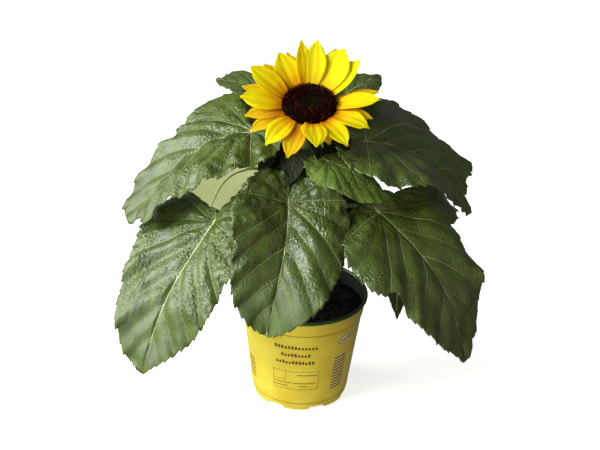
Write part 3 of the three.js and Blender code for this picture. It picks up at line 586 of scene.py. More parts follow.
# A node is a height on the stem. A joint and a tip are each an azimuth, a reach and a height. rise and fall
# are the midrib's slopes at its ends, swing bends it sideways, and roll turns the blade about it at each end.
# fold, curl and flip are angles of the right and the left half: up from the midrib, down towards the margin,
# and up at the lobes. right and left stretch the margin at angles from the tip. arrival is the slope at which
# the petiole meets the joint.
LEAVES = [
    dict(name="leaf_front", node=215, joint=(-107, 62, 244), tip=(-104, 138, 141), rise=-42, fall=-72,
         width=124, swing=15, fold=(34, 26), curl=(22, 62), flip=(0, 6), quilt=1.3,
         right=((0, 1), (6, 1.06), (20, 1.06), (30, 0.96), (42, 0.88), (58, 0.92), (75, 1)),
         left=((0, 1), (6, 1.06), (20, 1.08), (35, 1))),
    dict(name="leaf_left_low", node=185, joint=(-150, 103, 216), tip=(-144, 189, 77), rise=-50, fall=-75,
         width=128, swing=-10, roll=(0, 15), fold=(10, 18), curl=(12, 50), quilt=1.6,
         right=((0, 1), (10, 1.06), (28, 1), (45, 1), (55, 1.08), (78, 1.4), (90, 1.34), (97, 1.1),
                (102, 0.75), (107, 0.4), (113, 0.2), (175, 0.12)),
         left=((25, 1), (42, 0.93), (55, 0.86), (75, 1), (120, 1))),
    dict(name="leaf_right_low", node=190, joint=(-30, 80, 229), tip=(-31, 182, 96), rise=-30, fall=-85,
         width=134, swing=5, roll=(-4, 0), fold=(4, 18), curl=(30, 30), flip=(-12, 25), arrival=-8,
         right=((32, 1), (38, 0.9), (44, 0.9), (50, 1.06), (60, 1.14), (78, 1.16), (96, 0.95), (112, 0.78),
                (125, 0.6), (140, 0.45), (165, 0.3)),
         left=((20, 1), (38, 0.86), (52, 0.9), (66, 1.36), (77, 1.5), (84, 0.9), (92, 0.45), (175, 0.3))),
    dict(name="leaf_right_high", node=240, joint=(3, 55, 283), tip=(-3, 161, 214), rise=0, fall=-55,
         width=130, swing=10, roll=(8, 10), fold=(8, 28), curl=(30, 25),
         right=((30, 1), (50, 1.15), (75, 1.32), (110, 1.3), (150, 1)),
         left=((15, 1), (27, 1.24), (36, 1.14), (50, 1.3), (70, 1.48), (110, 1.42), (150, 1))),
    dict(name="leaf_left_high", node=250, joint=(178, 57, 289), tip=(188, 173, 196), rise=-10, fall=-50,
         width=122, swing=-15, roll=(0, -15), fold=(26, 8), curl=(25, 25), flip=(-35, 0), quilt=1.9,
         right=((0, 1.04), (10, 1.13), (18, 1.02), (26, 0.88), (35, 0.82), (44, 0.9), (52, 1.07), (62, 1.17),
                (80, 1.25), (110, 1.06)),
         left=((4, 1), (12, 1.1), (25, 1), (40, 1.1), (75, 1.28), (105, 1.2), (130, 1), (155, 0.9))),
    dict(name="leaf_right_small", node=258, joint=(-63, 40, 279), tip=(-32, 95, 244), rise=-10, fall=-45,
         width=68, swing=-8, roll=(0, -5), fold=(0, 8), curl=(30, 28),
         right=((0, 1), (30, 1.02), (60, 1.0), (90, 1.15), (150, 1.1)),
         left=((0, 1), (10, 0.86), (25, 0.7), (60, 0.66), (90, 0.75), (150, 0.85))),
    dict(name="leaf_back_right_high", node=272, joint=(70, 45, 301), tip=(55, 123, 312), rise=12, fall=-8,
         width=60),
    dict(name="leaf_back_left_high", node=286, joint=(128, 54, 311), tip=(135, 140, 301), rise=5, fall=-8,
         width=58, right=((0, 1), (12, 1.16), (30, 1.34), (90, 1.3))),
    dict(name="leaf_left_back_low", node=205, joint=(159, 66, 238), tip=(162, 113, 168), rise=-20, fall=-60,
         width=62, roll=(-70, -75), left=((0, 1.1), (30, 1.25), (60, 1.35), (150, 1.3)),
         right=((0, 1.1), (30, 1.15), (150, 1.1))),
    dict(name="leaf_right_back_low", node=170, joint=(18, 63, 198), tip=(13, 102, 70), rise=-25, fall=-85,
         width=46, roll=(40, 60)),
    dict(name="leaf_back", node=226, joint=(88, 50, 246), tip=(90, 134, 158), rise=0, fall=-72, width=108,
         fold=(4, 4)),
    dict(name="leaf_back_small", node=252, joint=(90, 30, 272), tip=(88, 78, 244), rise=-5, fall=-60,
         width=50),
    dict(name="leaf_back_right", node=178, joint=(42, 82, 200), tip=(42, 166, 88), rise=-15, fall=-75,
         width=112),
    dict(name="leaf_back_left", node=174, joint=(122, 82, 186), tip=(120, 168, 80), rise=-15, fall=-75,
         width=112),
]


def small_leaf(name, node_height, joint, tip, rise, fall, width):
    """A leaf that is plain: flat but for its own curl, with an even margin."""
    return dict(name=name, node=node_height, joint=joint, tip=tip, rise=rise, fall=fall, width=width)


# Young leaves, still small and painted dark as painted shade, crowd round the neck.
YOUNG_LEAVES = [
    small_leaf("leaf_neck_left", 290, (-156, 32, 285), (-151, 53, 252), -10, -70, 28),
    small_leaf("leaf_neck_front", 282, (-115, 32, 283), (-110, 54, 259), -10, -60, 27),
    small_leaf("leaf_neck_back", 296, (106, 20, 292), (108, 42, 279), -10, -60, 20),
    small_leaf("leaf_neck_right", 284, (-46, 26, 300), (-43, 50, 288), 5, -50, 28),
    small_leaf("leaf_neck_back_right", 276, (45, 28, 284), (47, 60, 257), 0, -65, 34),
    small_leaf("leaf_neck_back_left", 280, (143, 28, 276), (142, 53, 252), 0, -65, 25),
]
# Shoots are smaller still and painted dark as painted shade; they fill the neck's gaps and have no solid of
# their own.
SHOOTS = [
    small_leaf("shoot_left", 262, (-165, 22, 276), (-172, 46, 238), 0, -60, 34),
    small_leaf("shoot_front_left", 250, (-140, 18, 270), (-128, 40, 230), 0, -70, 40),
    small_leaf("shoot_right_low", 232, (10, 20, 248), (-4, 50, 194), 0, -60, 44),
    small_leaf("shoot_right", 288, (-40, 14, 296), (-48, 38, 258), 0, -70, 46),
    small_leaf("shoot_back", 262, (170, 12, 274), (168, 36, 238), 0, -60, 28),
]


def heading(azimuth, slope):
    """A direction of length one from its azimuth and slope in degrees."""
    azimuth, slope = np.radians(azimuth), np.radians(slope)
    level = np.cos(slope)
    return np.stack([level * np.cos(azimuth), level * np.sin(azimuth), np.sin(slope) + 0 * azimuth], -1)


def polar(spot):
    """A point from its azimuth in degrees, its reach from the pot's axis and its height."""
    azimuth, reach, height = math.radians(spot[0]), spot[1], spot[2]
    return np.array([reach * math.cos(azimuth), reach * math.sin(azimuth), height])


def smooth(low, high, value):
    """0 up to low, 1 from high on, and eased between the two."""
    share = np.clip((value - low) / (high - low), 0, 1)
    return share * share * (3 - 2 * share)


def midrib(leaf):
    """The midrib's length, its direction at the joint, and a function for place, right and up along it."""
    joint, tip = polar(leaf["joint"]), polar(leaf["tip"])
    chord = tip - joint
    azimuth = math.degrees(math.atan2(chord[1], chord[0]))
    swing = leaf.get("swing", 0)
    arm = 0.4 * np.linalg.norm(chord)
    start, end = heading(azimuth + swing, leaf["rise"]), heading(azimuth - swing, leaf["fall"])
    length, at = walk(bezier(joint, joint + arm * start, tip - arm * end, tip))
    roll_joint, roll_tip = leaf.get("roll", (0, 0))

    def frame_at(distance):
        share = np.clip(distance / length, 0, 1)
        spot, along = at(share * length)
        spot = spot + along * np.minimum(distance, 0)[..., None]
        level = heading(azimuth + swing * (1 - 2 * share), 0)
        right = np.stack([level[..., 1], -level[..., 0], 0 * share], -1)
        right = right - along * (right * along).sum(-1, keepdims=True)
        right = right / np.linalg.norm(right, axis=-1, keepdims=True)
        up = np.cross(right, along)
        roll = np.radians(roll_joint + (roll_tip - roll_joint) * share)[..., None]
        return spot, right * np.cos(roll) + up * np.sin(roll), up * np.cos(roll) - right * np.sin(roll)
    return length, start, frame_at


def toothed_margin(leaf, length, rng):
    """The margin from the notch to the tip, in rows set by the teeth: angle, x, y, run and tooth depth."""
    angle = np.linspace(OUTLINE[-1, 0], 0, 800)
    reach = np.interp(angle, OUTLINE[:, 0], OUTLINE[:, 1])
    reach = np.convolve(np.pad(reach, 20, mode="edge"), np.hanning(41) / np.hanning(41).sum(), mode="valid")
    x, y = reach * np.sin(np.radians(angle)), reach * np.cos(np.radians(angle))
    x, y = x / x.max() * leaf["width"] / 2, y / y[-1] * length
    run = np.concatenate([[0], np.cumsum(np.hypot(np.diff(x), np.diff(y)))])
    spacing = 5.2 + 0.022 * length
    ends = np.cumsum(rng.uniform(0.6, 1.45, int(run[-1] / spacing) + 1))
    ends = ends / ends[-1] * run[-1]
    rows, depths = [], []
    before = 0.0
    for end in ends:
        size = (end - before) / spacing
        for share, depth in ((0.0, 1.0), (0.34, 0.62), (0.62, 0.3), (0.86, 0.0)):
            rows.append(before + share * (end - before))
            depths.append(depth * size * rng.uniform(0.85, 1.15))
        before = end
    rows.append(run[-1])
    depths.append(0.0)
    rows, depths = np.array(rows), np.array(depths) * (0.7 + 0.011 * length)
    depths *= smooth(0, 12, rows) * (1 - 0.7 * smooth(run[-1] - 14, run[-1], rows))
    return (np.interp(rows, run, angle), np.interp(rows, run, x), np.interp(rows, run, y), rows, depths)


def leaf_rib(leaf, length, start, frame_at, size, scale):
    """The petiole from the stem to the joint, and the rib that runs on under the blade, as one tube."""
    root = stem_point(leaf["node"])
    joint = polar(leaf["joint"])
    out = joint - root
    reach = np.linalg.norm(out)
    azimuth = math.degrees(math.atan2(out[1], out[0]))
    arrival = heading(azimuth, leaf["arrival"]) if "arrival" in leaf else start
    arch = bezier(root, root + 0.4 * reach * heading(azimuth, 50), joint - 0.35 * reach * arrival, joint, 40)
    rib_run = np.linspace(0, 0.92 * length, 40)
    rib_spot, _, rib_up = frame_at(rib_run)
    rib_radius = scale * (1.45 - 1.15 * (rib_run / length) ** 0.6)
    rib_line = rib_spot - rib_up * (0.8 * size * (1 - rib_run / length) + 0.75 * rib_radius)[:, None]
    radii = np.concatenate([scale * np.linspace(2.7, 1.7, 40), rib_radius[1:]])
    return tube(np.concatenate([arch, rib_line[1:]]), radii, 10)


def leaf_mesh(leaf, seed):
    """A leaf's blade and petiole, with each face's material and the maps that its skins are drawn by."""
    rng = np.random.default_rng(seed)
    length, start, frame_at = midrib(leaf)
    size = min(1.0, leaf["width"] / 100)
    scale = 0.45 + 0.55 * min(1, length / 140)
    angle, margin_x, margin_y, run, depth = toothed_margin(leaf, length, rng)
    rows, columns = len(angle), 15 + int(leaf["width"] / 9)
    # Each half of the blade is a grid from the midrib, where q is 0, to the toothed margin, where q is 1.
    q = np.linspace(0, 1, columns)[None, None, :]
    side = np.array([0, 1])[:, None, None]
    anchor = length * np.clip(1 - angle / FAN_ANGLE, 0, None) ** 1.5
    reach = [np.interp(angle, *np.array(leaf.get(key, ((0, 1), (1, 1)))).T)[:, None]
             for key in ("right", "left")]
    pull = 1 - (depth / np.hypot(margin_x, margin_y))[None, :, None] * smooth(0.72, 1.0, q)
    pull = pull * (1 + (np.stack(reach) - 1) * q)
    x, y, a = margin_x[None, :, None] * pull, margin_y[None, :, None] * pull, anchor[None, :, None]
    span = y - a
    bow = 0.22 * np.hypot(x, span) * q * (1 - q) * smooth(FAN_ANGLE, FAN_ANGLE - 20, angle)[None, :, None]
    along = a + span * q - bow + 0 * side
    across = x * q + 0 * side
    spot, right, up = frame_at(along)
    fold, curl, flip = (np.array(leaf.get(key, plain), float)[:, None, None]
                        for key, plain in (("fold", (10, 10)), ("curl", (20, 20)), ("flip", (0, 0))))
    behind = smooth(70, 115, angle)[None, :, None]
    slope = np.radians(fold + flip * behind - curl * across / leaf["width"])[..., None]
    outwards = np.where(side == 0, 1.0, -1.0)
    plan_x = outwards * across
    spot = spot + right * plan_x[..., None] * np.cos(slope) + up * across[..., None] * np.sin(slope)

    # The relief: the blade bulges between its side veins, wrinkles across them and waves at its margin.
    vein = np.interp(180 - angle, 180 - SIDE_VEINS, np.arange(len(SIDE_VEINS)))
    by_vein = [np.gradient(values, vein)[None, :, None] for values in (margin_x, margin_y, anchor)]
    flat_x, flat_y = margin_x[None, :, None], (margin_y - anchor)[None, :, None]
    gap = np.abs(by_vein[0] * q * flat_y - (by_vein[2] + (by_vein[1] - by_vein[2]) * q) * flat_x)
    gap = gap / np.maximum(np.hypot(flat_x, flat_y), 1e-6) + 0 * side
    phase = vein[None, :, None] % 1.0 + 0 * q + 0 * side
    bulge = np.sin(math.pi * phase) ** 1.3
    quilt = leaf.get("quilt", 1.0)
    ladder = q * np.hypot(flat_x, flat_y) + 2.5 * field(plan_x, along, 15.0, seed)
    rough = 0.3 + 0.7 * smooth(0.45, 0.9, q) + 0.9 * smooth(0.35, 0.0, along / length)
    rough = rough * (1 - 0.6 * smooth(0.45, 0.8, along / length))
    wrinkles = 0.34 * np.cos(2 * math.pi * ladder / 9.5) + 0.75 * field(plan_x, along, 6.5, seed + 1)
    relief = quilt * smooth(0, 0.12, q) * bulge * (0.085 * np.minimum(gap, 20) + size * rough * wrinkles)
    margin_run = run[None, :, None] + 300 * side + 0 * q
    relief = relief + size * 5.0 * q ** 2 * field(margin_run, 30 * q + 0 * side, 26.0, seed + 2)
    relief = relief + size * 2.2 * q ** 4 * field(margin_run, 9 * q + 0 * side, 8.0, seed + 5)
    relief = relief + size * 4.2 * smooth(0, 0.5, q) * field(plan_x, along, 34.0, seed + 3)
    relief = relief + size * 1.5 * smooth(0, 0.4, q) * field(plan_x, along, 15.0, seed + 6)

    # Points that the two grids share are joined, the relief is added, and the sheet is made solid.
    flat = spot.reshape(-1, 3)
    _, first, place_of = np.unique(np.round(flat, 4), axis=0, return_index=True, return_inverse=True)
    place_of = place_of.ravel()
    sheet = flat[first]
    quads = grid_faces(rows, columns)
    quads = np.concatenate([quads, quads[:, ::-1] + rows * columns])
    faces, corners = [], []
    for quad, spots in zip(quads.tolist(), place_of[quads].tolist()):
        kept = [i for i in range(4) if spots[i] != spots[i - 1]]
        if len(kept) > 2:
            faces.append(tuple(spots[i] for i in kept))
            corners.append([quad[i] for i in kept])
    sheet = sheet + sheet_normals(sheet, faces) * relief.reshape(-1)[first][:, None]
    solid, all_faces, sides = thickened(sheet, faces, 0.25 + 0.25 * size)
    corners += [list(reversed(c)) for c in corners]
    corners += [[first[v % len(sheet)] for v in f] for f in all_faces[len(corners):]]

    tube_points, tube_faces = leaf_rib(leaf, length, start, frame_at, size, scale)
    points, all_faces = joined([(solid, all_faces), (tube_points, tube_faces)])
    index = np.concatenate([(sides == 1).astype(int), np.full(len(tube_faces), 2)])

    # Maps for the skins: place on the blade, and distance from the nearest side vein and from the midrib.
    weight = VEIN_WEIGHTS[np.round(vein).astype(int)][None, :, None]
    half_width = scale * weight * (0.25 + 0.75 * (1 - q) ** 0.8) + 0 * side
    rib_half = scale * (1.6 - 1.15 * np.clip(along / length, 0, 1) ** 0.7)
    blank = np.zeros((sum(len(f) for f in tube_faces), 2))
    loops = np.concatenate([np.array(c) for c in corners])
    maps = {}
    for key, first_value, second_value in (
            ("plan", plan_x * MM, along * MM), ("veins", vein[None, :, None] + 0 * gap, gap / half_width),
            ("rib", across / rib_half, q + 0 * along)):
        values = np.stack([first_value.reshape(-1), second_value.reshape(-1)], -1)
        maps[key] = np.concatenate([values[loops], blank])
    return points, all_faces, index, maps


def new_blade_skin(name, deep, bright, vein_code, net_share, sunken, roughness, wear=0.12, **inputs):
    """A blade's skin, drawn from the leaf's own maps: mottled green, a fine net, side veins and the midrib.

    net_share is how much of the net's colour shows, and wear is the roughness gained towards the tip. The
    veins are sunken on the upper side and stand proud on the lower one."""
    made, tree, shader = new_surface(name, Roughness=roughness, IOR=1.45, **inputs)
    plan = node(tree, "UVMap", uv_map="plan")
    veins = node(tree, "SeparateXYZ", {0: node(tree, "UVMap", uv_map="veins")})
    off_rib = node(tree, "SeparateXYZ", {0: node(tree, "UVMap", uv_map="rib")})
    down = node(tree, "SeparateXYZ", {0: plan}).outputs[1]
    # The net's real cells are 2 to 3 mm wide. They are drawn wider, so that they show.
    net = node(tree, "TexVoronoi", {"Vector": plan, "Scale": pattern_scale(4.2)}, feature="DISTANCE_TO_EDGE")
    to_edge = net.outputs["Distance"]

    # Lines that fade out over a distance: the side vein nearest to each point, the midrib and the net.
    nearest = node(tree, "Math", {0: veins, 1: 0.5}, operation="PINGPONG")
    off_vein = node(tree, "Math", {0: nearest, 1: veins.outputs[1]}, operation="MULTIPLY")
    side_vein, main_vein, net_line = (
        node(tree, "MapRange", {"Value": distance, "From Min": low, "From Max": high, "To Min": 1.0,
                                "To Max": 0.0}, interpolation_type="SMOOTHSTEP")
        for distance, low, high in ((off_vein, 0.2, 0.9), (off_rib, 0.35, 0.8), (to_edge, 0.02, 0.11)))

    cloud = node(tree, "TexNoise", {"Vector": plan, "Scale": pattern_scale(17), "Detail": 3.0})
    share = node(tree, "MapRange", {"Value": cloud, "From Min": 0.3, "From Max": 0.7})
    shade = node(tree, "Mix", {0: share, 6: linear(deep), 7: linear(bright)}, data_type="RGBA").outputs[2]
    for line, strength in ((net_line, net_share), (side_vein, 0.65), (main_vein, 0.9)):
        share = node(tree, "Math", {0: line, 1: strength}, operation="MULTIPLY")
        shade = node(tree, "Mix", {0: share, 6: shade, 7: linear(vein_code)}, data_type="RGBA").outputs[2]
    tree.links.new(shade, shader.inputs["Base Color"])

    # Small pillows between the net's lines, patchy, and flatter towards the tip, and the side veins.
    pillow = node(tree, "Math", {0: to_edge, 1: 2.2}, operation="MULTIPLY")
    fine = node(tree, "TexNoise", {"Vector": plan, "Scale": pattern_scale(1.3), "Detail": 2.0})
    patchy = node(tree, "TexNoise", {"Vector": plan, "Scale": pattern_scale(30), "Detail": 1.0})
    rough = node(tree, "MapRange", {"Value": patchy, "From Min": 0.4, "From Max": 0.62, "To Min": 0.3})
    plain = node(tree, "MapRange", {"Value": down, "From Min": 0.05, "From Max": 0.12, "To Min": 1.0,
                                    "To Max": 0.25})
    height = node(tree, "Math", {0: fine, 1: 0.4, 2: pillow}, operation="MULTIPLY_ADD")
    for flatter in (rough, plain):
        height = node(tree, "Math", {0: height, 1: flatter}, operation="MULTIPLY")
    height = node(tree, "Math", {0: side_vein, 1: -0.4, 2: height}, operation="MULTIPLY_ADD")
    bump = node(tree, "Bump", {"Height": height, "Strength": 0.9, "Distance": 0.0011}, invert=not sunken)
    tree.links.new(bump.outputs[0], shader.inputs["Normal"])
    worn = node(tree, "MapRange", {"Value": down, "From Min": 0.06, "From Max": 0.13, "To Min": roughness,
                                   "To Max": roughness + wear})
    tree.links.new(worn.outputs[0], shader.inputs["Roughness"])
    return made


# The upper skin is waxy: dark olive, with a broad greyish sheen that the blisters between the veins break up.
upper_skin = new_blade_skin("leaf, waxy upper skin", "#364811", "#526621", "#b8c488", 0.03, True, 0.41,
                            Specular_IOR_Level=0.74)
# The foremost leaf has been brushed on its way, so its wax is thick at its joint and thin at its tip.
brushed_skin = new_blade_skin("leaf, brushed waxy upper skin", "#33460f", "#4d621f", "#b8c488", 0.03, True,
                              0.36, wear=0.5, Specular_IOR_Level=0.75)
# The youngest of the large leaves stands in the flower's shade; its skin is painted a lighter green as
# painted light.
painted_light_skin = new_blade_skin("young leaf, waxy upper skin, painted light", "#4d6620", "#6c8736", "#c8d690", 0.04, True, 0.45)
# Young leaves crowd round the neck in deep shade, still downy; their skins are painted dark as painted shade.
painted_shade_young_skin = new_blade_skin("young leaf, downy upper skin, painted shade", "#12160a", "#232a12", "#465228", 0.05, True, 0.6,
                            Specular_IOR_Level=0.25)
painted_shade_young_back = new_blade_skin("young leaf, downy lower skin, painted shade", "#1c260f", "#303c1b", "#4c5a2c", 0.1, False, 0.75)
# The lower skin has no wax and is felted with short hairs, so it is pale and matt, with the veins raised.
lower_skin = new_blade_skin("leaf, felted lower skin", "#97a65c", "#b4c07c", "#8fa055", 0.2, False, 0.75,
                            Sheen_Weight=0.2, Sheen_Roughness=0.6)
# One leaf shows its felted underside in shade, and a painted glow makes it shine a pale green as if it were
# lit.
painted_glow_back = new_blade_skin("leaf, felted lower skin with painted glow", "#d4dea4", "#e6edc2", "#a3b26a", 0.15,
                           False, 0.75, Emission_Color=linear("#c8d094"), Emission_Strength=0.62)
PAINTED_SHADE_SKINS = (painted_shade_young_skin, painted_shade_young_back)
# These leaves differ from the rest in their upper skin, their lower skin or both, some by painted shade or
# light.
OWN_SKINS = {
    "leaf_front": (brushed_skin, lower_skin),
    "leaf_right_small": (painted_light_skin, lower_skin),
    "leaf_left_back_low": (upper_skin, painted_glow_back),
    "leaf_right_back_low": (upper_skin, painted_shade_young_back),
    "leaf_back_small": PAINTED_SHADE_SKINS,
}
for number, leaf in enumerate(LEAVES + YOUNG_LEAVES + SHOOTS):
    name = leaf["name"]
    points, faces, index, maps = leaf_mesh(leaf, number + 1)
    skins = PAINTED_SHADE_SKINS if leaf in YOUNG_LEAVES + SHOOTS else OWN_SKINS.get(name, (upper_skin, lower_skin))
    make_piece(name + "_blade", points, faces, [*skins, stem_skin], [] if leaf in SHOOTS else [name],
               index=index, maps=maps)

# The calyx.
# A green cup holds the head together. Two rows of pointed, hairy bracts grow from it and lie under the
# petals.
BRACT_THICKNESS = 0.7
BRACTS_A_ROW = 13
# Each row's start from the axis, level, bract length and bract width.
BRACT_ROWS = ((18.0, -8.6, 26.0, 13.0), (16.0, -10.2, 21.0, 11.0))
cup_section = eased([[0.05, -17.0], [6.2, -17.0], [8.7, -13.5], [17.6, -10.0], [23.3, -7.8], [24.5, -6.2],
                     [23.9, -5.2], [0.05, -5.2]], 1.2)
cup, cup_faces = turned(cup_section, 60)


def ray_sheet(azimuth, lift, bend, turn, start, level, length, rows, columns, outline, relief):
    """A strip from the head outwards, with the shares along and across it at its rows and columns.

    outline gives its half width, and relief the height above its flat and the push along it."""
    share = np.linspace(0, 1, rows)
    slope = np.radians(lift + bend * (0.5 - share))
    step = length / (rows - 1)
    out, rise = np.cos(slope) * step, np.sin(slope) * step
    reach = start + np.concatenate([[0], np.cumsum((out[1:] + out[:-1]) / 2)])
    height = level + np.concatenate([[0], np.cumsum((rise[1:] + rise[:-1]) / 2)])
    outwards = heading(azimuth, 0)
    side = np.array([outwards[1], -outwards[0], 0])
    up = -np.sin(slope)[:, None] * outwards + np.cos(slope)[:, None] * np.array([0, 0, 1.0])
    along = np.cos(slope)[:, None] * outwards + np.sin(slope)[:, None] * np.array([0, 0, 1.0])
    lean = np.radians(turn)[:, None] if np.ndim(turn) else math.radians(turn)
    wide, proud = side * np.cos(lean) + up * np.sin(lean), up * np.cos(lean) - side * np.sin(lean)
    u = np.linspace(-1, 1, columns)
    half = outline(share)[:, None]
    centre = reach[:, None] * outwards + height[:, None] * np.array([0, 0, 1.0])
    lifted, pushed = relief(share[:, None], u[None, :], half)
    points = (centre[:, None, :] + wide[:, None, :] * (half * u)[..., None]
              + proud[:, None, :] * lifted[..., None] + along[:, None, :] * pushed[..., None])
    faces = [tuple(reversed(f)) for f in grid_faces(rows, columns).tolist()]
    return points.reshape(-1, 3), faces, share, u


def bract_relief(s, u, half):
    """A bract is a shallow trough with a finer groove along its middle, and its ends stay where they are."""
    return 0.16 * half * np.abs(u) ** 1.5 - 0.25 * np.exp(-(u * 5) ** 2) + 0 * s, 0 * s * u


parts = [(cup, cup_faces)]
rng = np.random.default_rng(12)
for row, (start, level, length, width) in enumerate(BRACT_ROWS):
    for number in range(BRACTS_A_ROW):
        azimuth = 360 * (number + 0.5 + 0.5 * row) / BRACTS_A_ROW
        lift = -14 + 20 * math.sin(math.radians(azimuth)) - 10 * row + rng.uniform(-3, 3)
        sheet, quads, _, _ = ray_sheet(
            azimuth, lift, 20 + 14 * row, 5 + rng.uniform(-6, 6), start, level, length, 16, 9,
            lambda s: width / 2 * (1 - 0.97 * s ** 1.6), bract_relief)
        parts.append(thickened(sheet, quads, BRACT_THICKNESS)[:2])
points, faces = joined(parts)
# Bracts and cup: mid green and matt, felted with soft hairs that lighten their rims.
bract_skin = new_mottled("bract skin, felted", 8, "#4c6a2a", "#7f9a4e", detail=3.0, pits=SKIN_PITS,
                         Roughness=0.7, IOR=1.42, Sheen_Weight=0.4, Sheen_Roughness=0.5)
make_piece("calyx_bracts", on_head(points), faces, [bract_skin], ["calyx"])

# The disc.
# Hundreds of small tube florets stand packed in crossing spirals. The outer ones are open and curl out two
# dark stigmas each. Those in the middle are still shut and greenish.
DISC_RADIUS = 26.2
FLORETS = 640
GOLDEN_ANGLE = math.pi * (3 - math.sqrt(5))
SHUT_SHAPE = ((0.0, 0.5), (0.5, 0.6), (0.85, 0.36))
OPEN_SHAPE = ((0.0, 0.42), (0.55, 0.5), (0.8, 0.64), (1.0, 0.42))


def disc_height(reach):
    """The florets' ground: a low ring round a dip in the middle, falling off at the disc's edge."""
    return np.interp(reach, [0, 5.8, 11.8, 19.6, 23, 25.4, 26.2], [1.1, 1.4, 2.2, 2.2, 1.3, -0.6, -1.6])


def new_floret(name, deep, bright, tip, roughness):
    """A floret's skin: a tone of its own, painted shade nearly black at its foot and painted light at its
    tip.
    """
    made, tree, shader = new_surface(name, Roughness=roughness, IOR=1.12)
    growth = node(tree, "SeparateXYZ", {0: node(tree, "UVMap", uv_map="growth")})
    own = node(tree, "Mix", {0: growth.outputs[1], 6: linear(bright), 7: linear(tip)}, data_type="RGBA")
    shade = node(tree, "Mix", {0: growth, 6: linear(deep), 7: own.outputs[2]}, data_type="RGBA")
    tree.links.new(shade.outputs[2], shader.inputs["Base Color"])
    return made


# Open florets: deep red brown, painted shade nearly black at the foot, some dusted with pollen. Shut ones:
# olive tips.
open_floret = new_floret("disc floret, open", "#030101", "#2c0a05", "#9a4c30", 0.7)
shut_floret = new_floret("disc floret, shut", "#050301", "#171409", "#3f3c1c", 0.7)


def floret_bud(foot, axis, aside, tall, shape, tip_at):
    """A floret's tube, rounded shut at its tip, with the share of its height at each point."""
    turn = np.linspace(0, 2 * math.pi, 6, endpoint=False)
    second = np.cross(axis, aside)
    ring = np.cos(turn)[:, None] * aside + np.sin(turn)[:, None] * second
    rings = [foot + axis * tall * up + width * ring for up, width in shape]
    points = np.concatenate(rings + [(foot + axis * tall * tip_at)[None, :]])
    quads = [tuple(f) for f in grid_faces(len(shape), 6, closed=True).tolist()]
    last = (len(shape) - 1) * 6
    quads += [(last + i, last + (i + 1) % 6, last + 6) for i in range(6)]
    return points, quads, np.concatenate([np.repeat([up for up, _ in shape], 6), [1.0]])


def gather(parts):
    """Loose florets as one mesh on the head, with a map of growth and tone by face corner."""
    points, faces = joined([part[:2] for part in parts])
    grown = np.concatenate([np.stack([up, np.full(len(up), tone)], -1) for _, _, up, tone in parts])
    corners = np.concatenate([np.array(f) for f in faces])
    return on_head(points), faces, {"growth": grown[corners]}


rng = np.random.default_rng(21)
opened_parts, shut_parts = [], []
for number in range(FLORETS):
    reach = DISC_RADIUS * 0.96 * math.sqrt((number + 0.5) / FLORETS)
    azimuth = number * GOLDEN_ANGLE
    opened = smooth(8.0, 11.5, reach) > rng.uniform(0.2, 0.8)
    outer = smooth(0.82, 0.95, reach / DISC_RADIUS)
    lean = 0.5 * (reach / DISC_RADIUS) ** 3 + 0.35 * outer * rng.uniform(0, 1) + rng.uniform(-0.22, 0.22)
    outwards = np.array([math.cos(azimuth), math.sin(azimuth), 0.0])
    aside = np.array([-math.sin(azimuth), math.cos(azimuth), 0.0])
    axis = outwards * math.sin(lean) + np.array([0, 0, math.cos(lean)])
    foot = outwards * reach + np.array([0, 0, disc_height(reach) - 1.0])
    if not opened:
        tall = rng.uniform(1.6, 2.3)
        bud, quads, up = floret_bud(foot, axis, aside, tall, SHUT_SHAPE, 1.02)
        shut_parts.append((bud, quads, up ** 2, rng.uniform(0, 1)))
        continue
    tall = rng.uniform(2.2, 3.6) + 0.8 * outer * rng.uniform(0, 1)
    tone = rng.uniform(0, 0.4) ** 2
    tone += rng.uniform(0.4, 1.0) if rng.uniform() < 0.06 + 0.12 * outer else 0.0
    bud, quads, up = floret_bud(foot, axis, aside, tall, OPEN_SHAPE, 0.85)
    opened_parts.append((bud, quads, 0.6 * up ** 3, tone))
    for way in (-1, 1):
        facing = (math.cos(rng.uniform(-0.8, 0.8)) * aside * way
                  + math.sin(rng.uniform(-0.8, 0.8)) * np.cross(axis, aside))
        share = np.linspace(0, 1, 5)[:, None]
        line = foot + axis * tall * 0.8 + axis * (share * 1.35 - 0.5 * share ** 3) + facing * share ** 2
        arm, arm_faces = tube(line, np.linspace(0.26, 0.08, 5), 4)
        opened_parts.append((arm, arm_faces, np.repeat(np.linspace(0.3, 1.0, 5), 4), tone))
receptacle = [[0.05, -4.9], [25.0, -4.9], [26.0, -3.4], [25.9, -1.8], [24.4, 0.2], [19.6, 1.4], [11.8, 1.4],
              [5.8, 0.6], [0.05, 0.4]]
points, faces = turned(receptacle, 60)
points, faces, maps = gather([(points, faces, np.zeros(len(points)), 0.0)])
make_piece("disc_receptacle", points, faces, [open_floret], ["disc"], maps=maps)
points, faces, maps = gather(opened_parts)
make_piece("disc_open_florets", points, faces, [open_floret], maps=maps)
points, faces, maps = gather(shut_parts)
make_piece("disc_shut_florets", points, faces, [shut_floret], maps=maps)

# The ray petals.
# Each is one strap-shaped floret on a short claw at the disc's edge: thin, grooved along its length, orange
# at its foot and clear yellow beyond, and faintly notched at its tip. They stand in two whorls.
PETAL_START = 26.0
PETAL_LEVELS = {"upper": -2.3, "lower": -4.0, "fresh": -2.3}
PETAL_ROWS = 34
PETAL_COLUMNS = 17
PETAL_THICKNESS = 0.34
SOLID_PETALS = 21
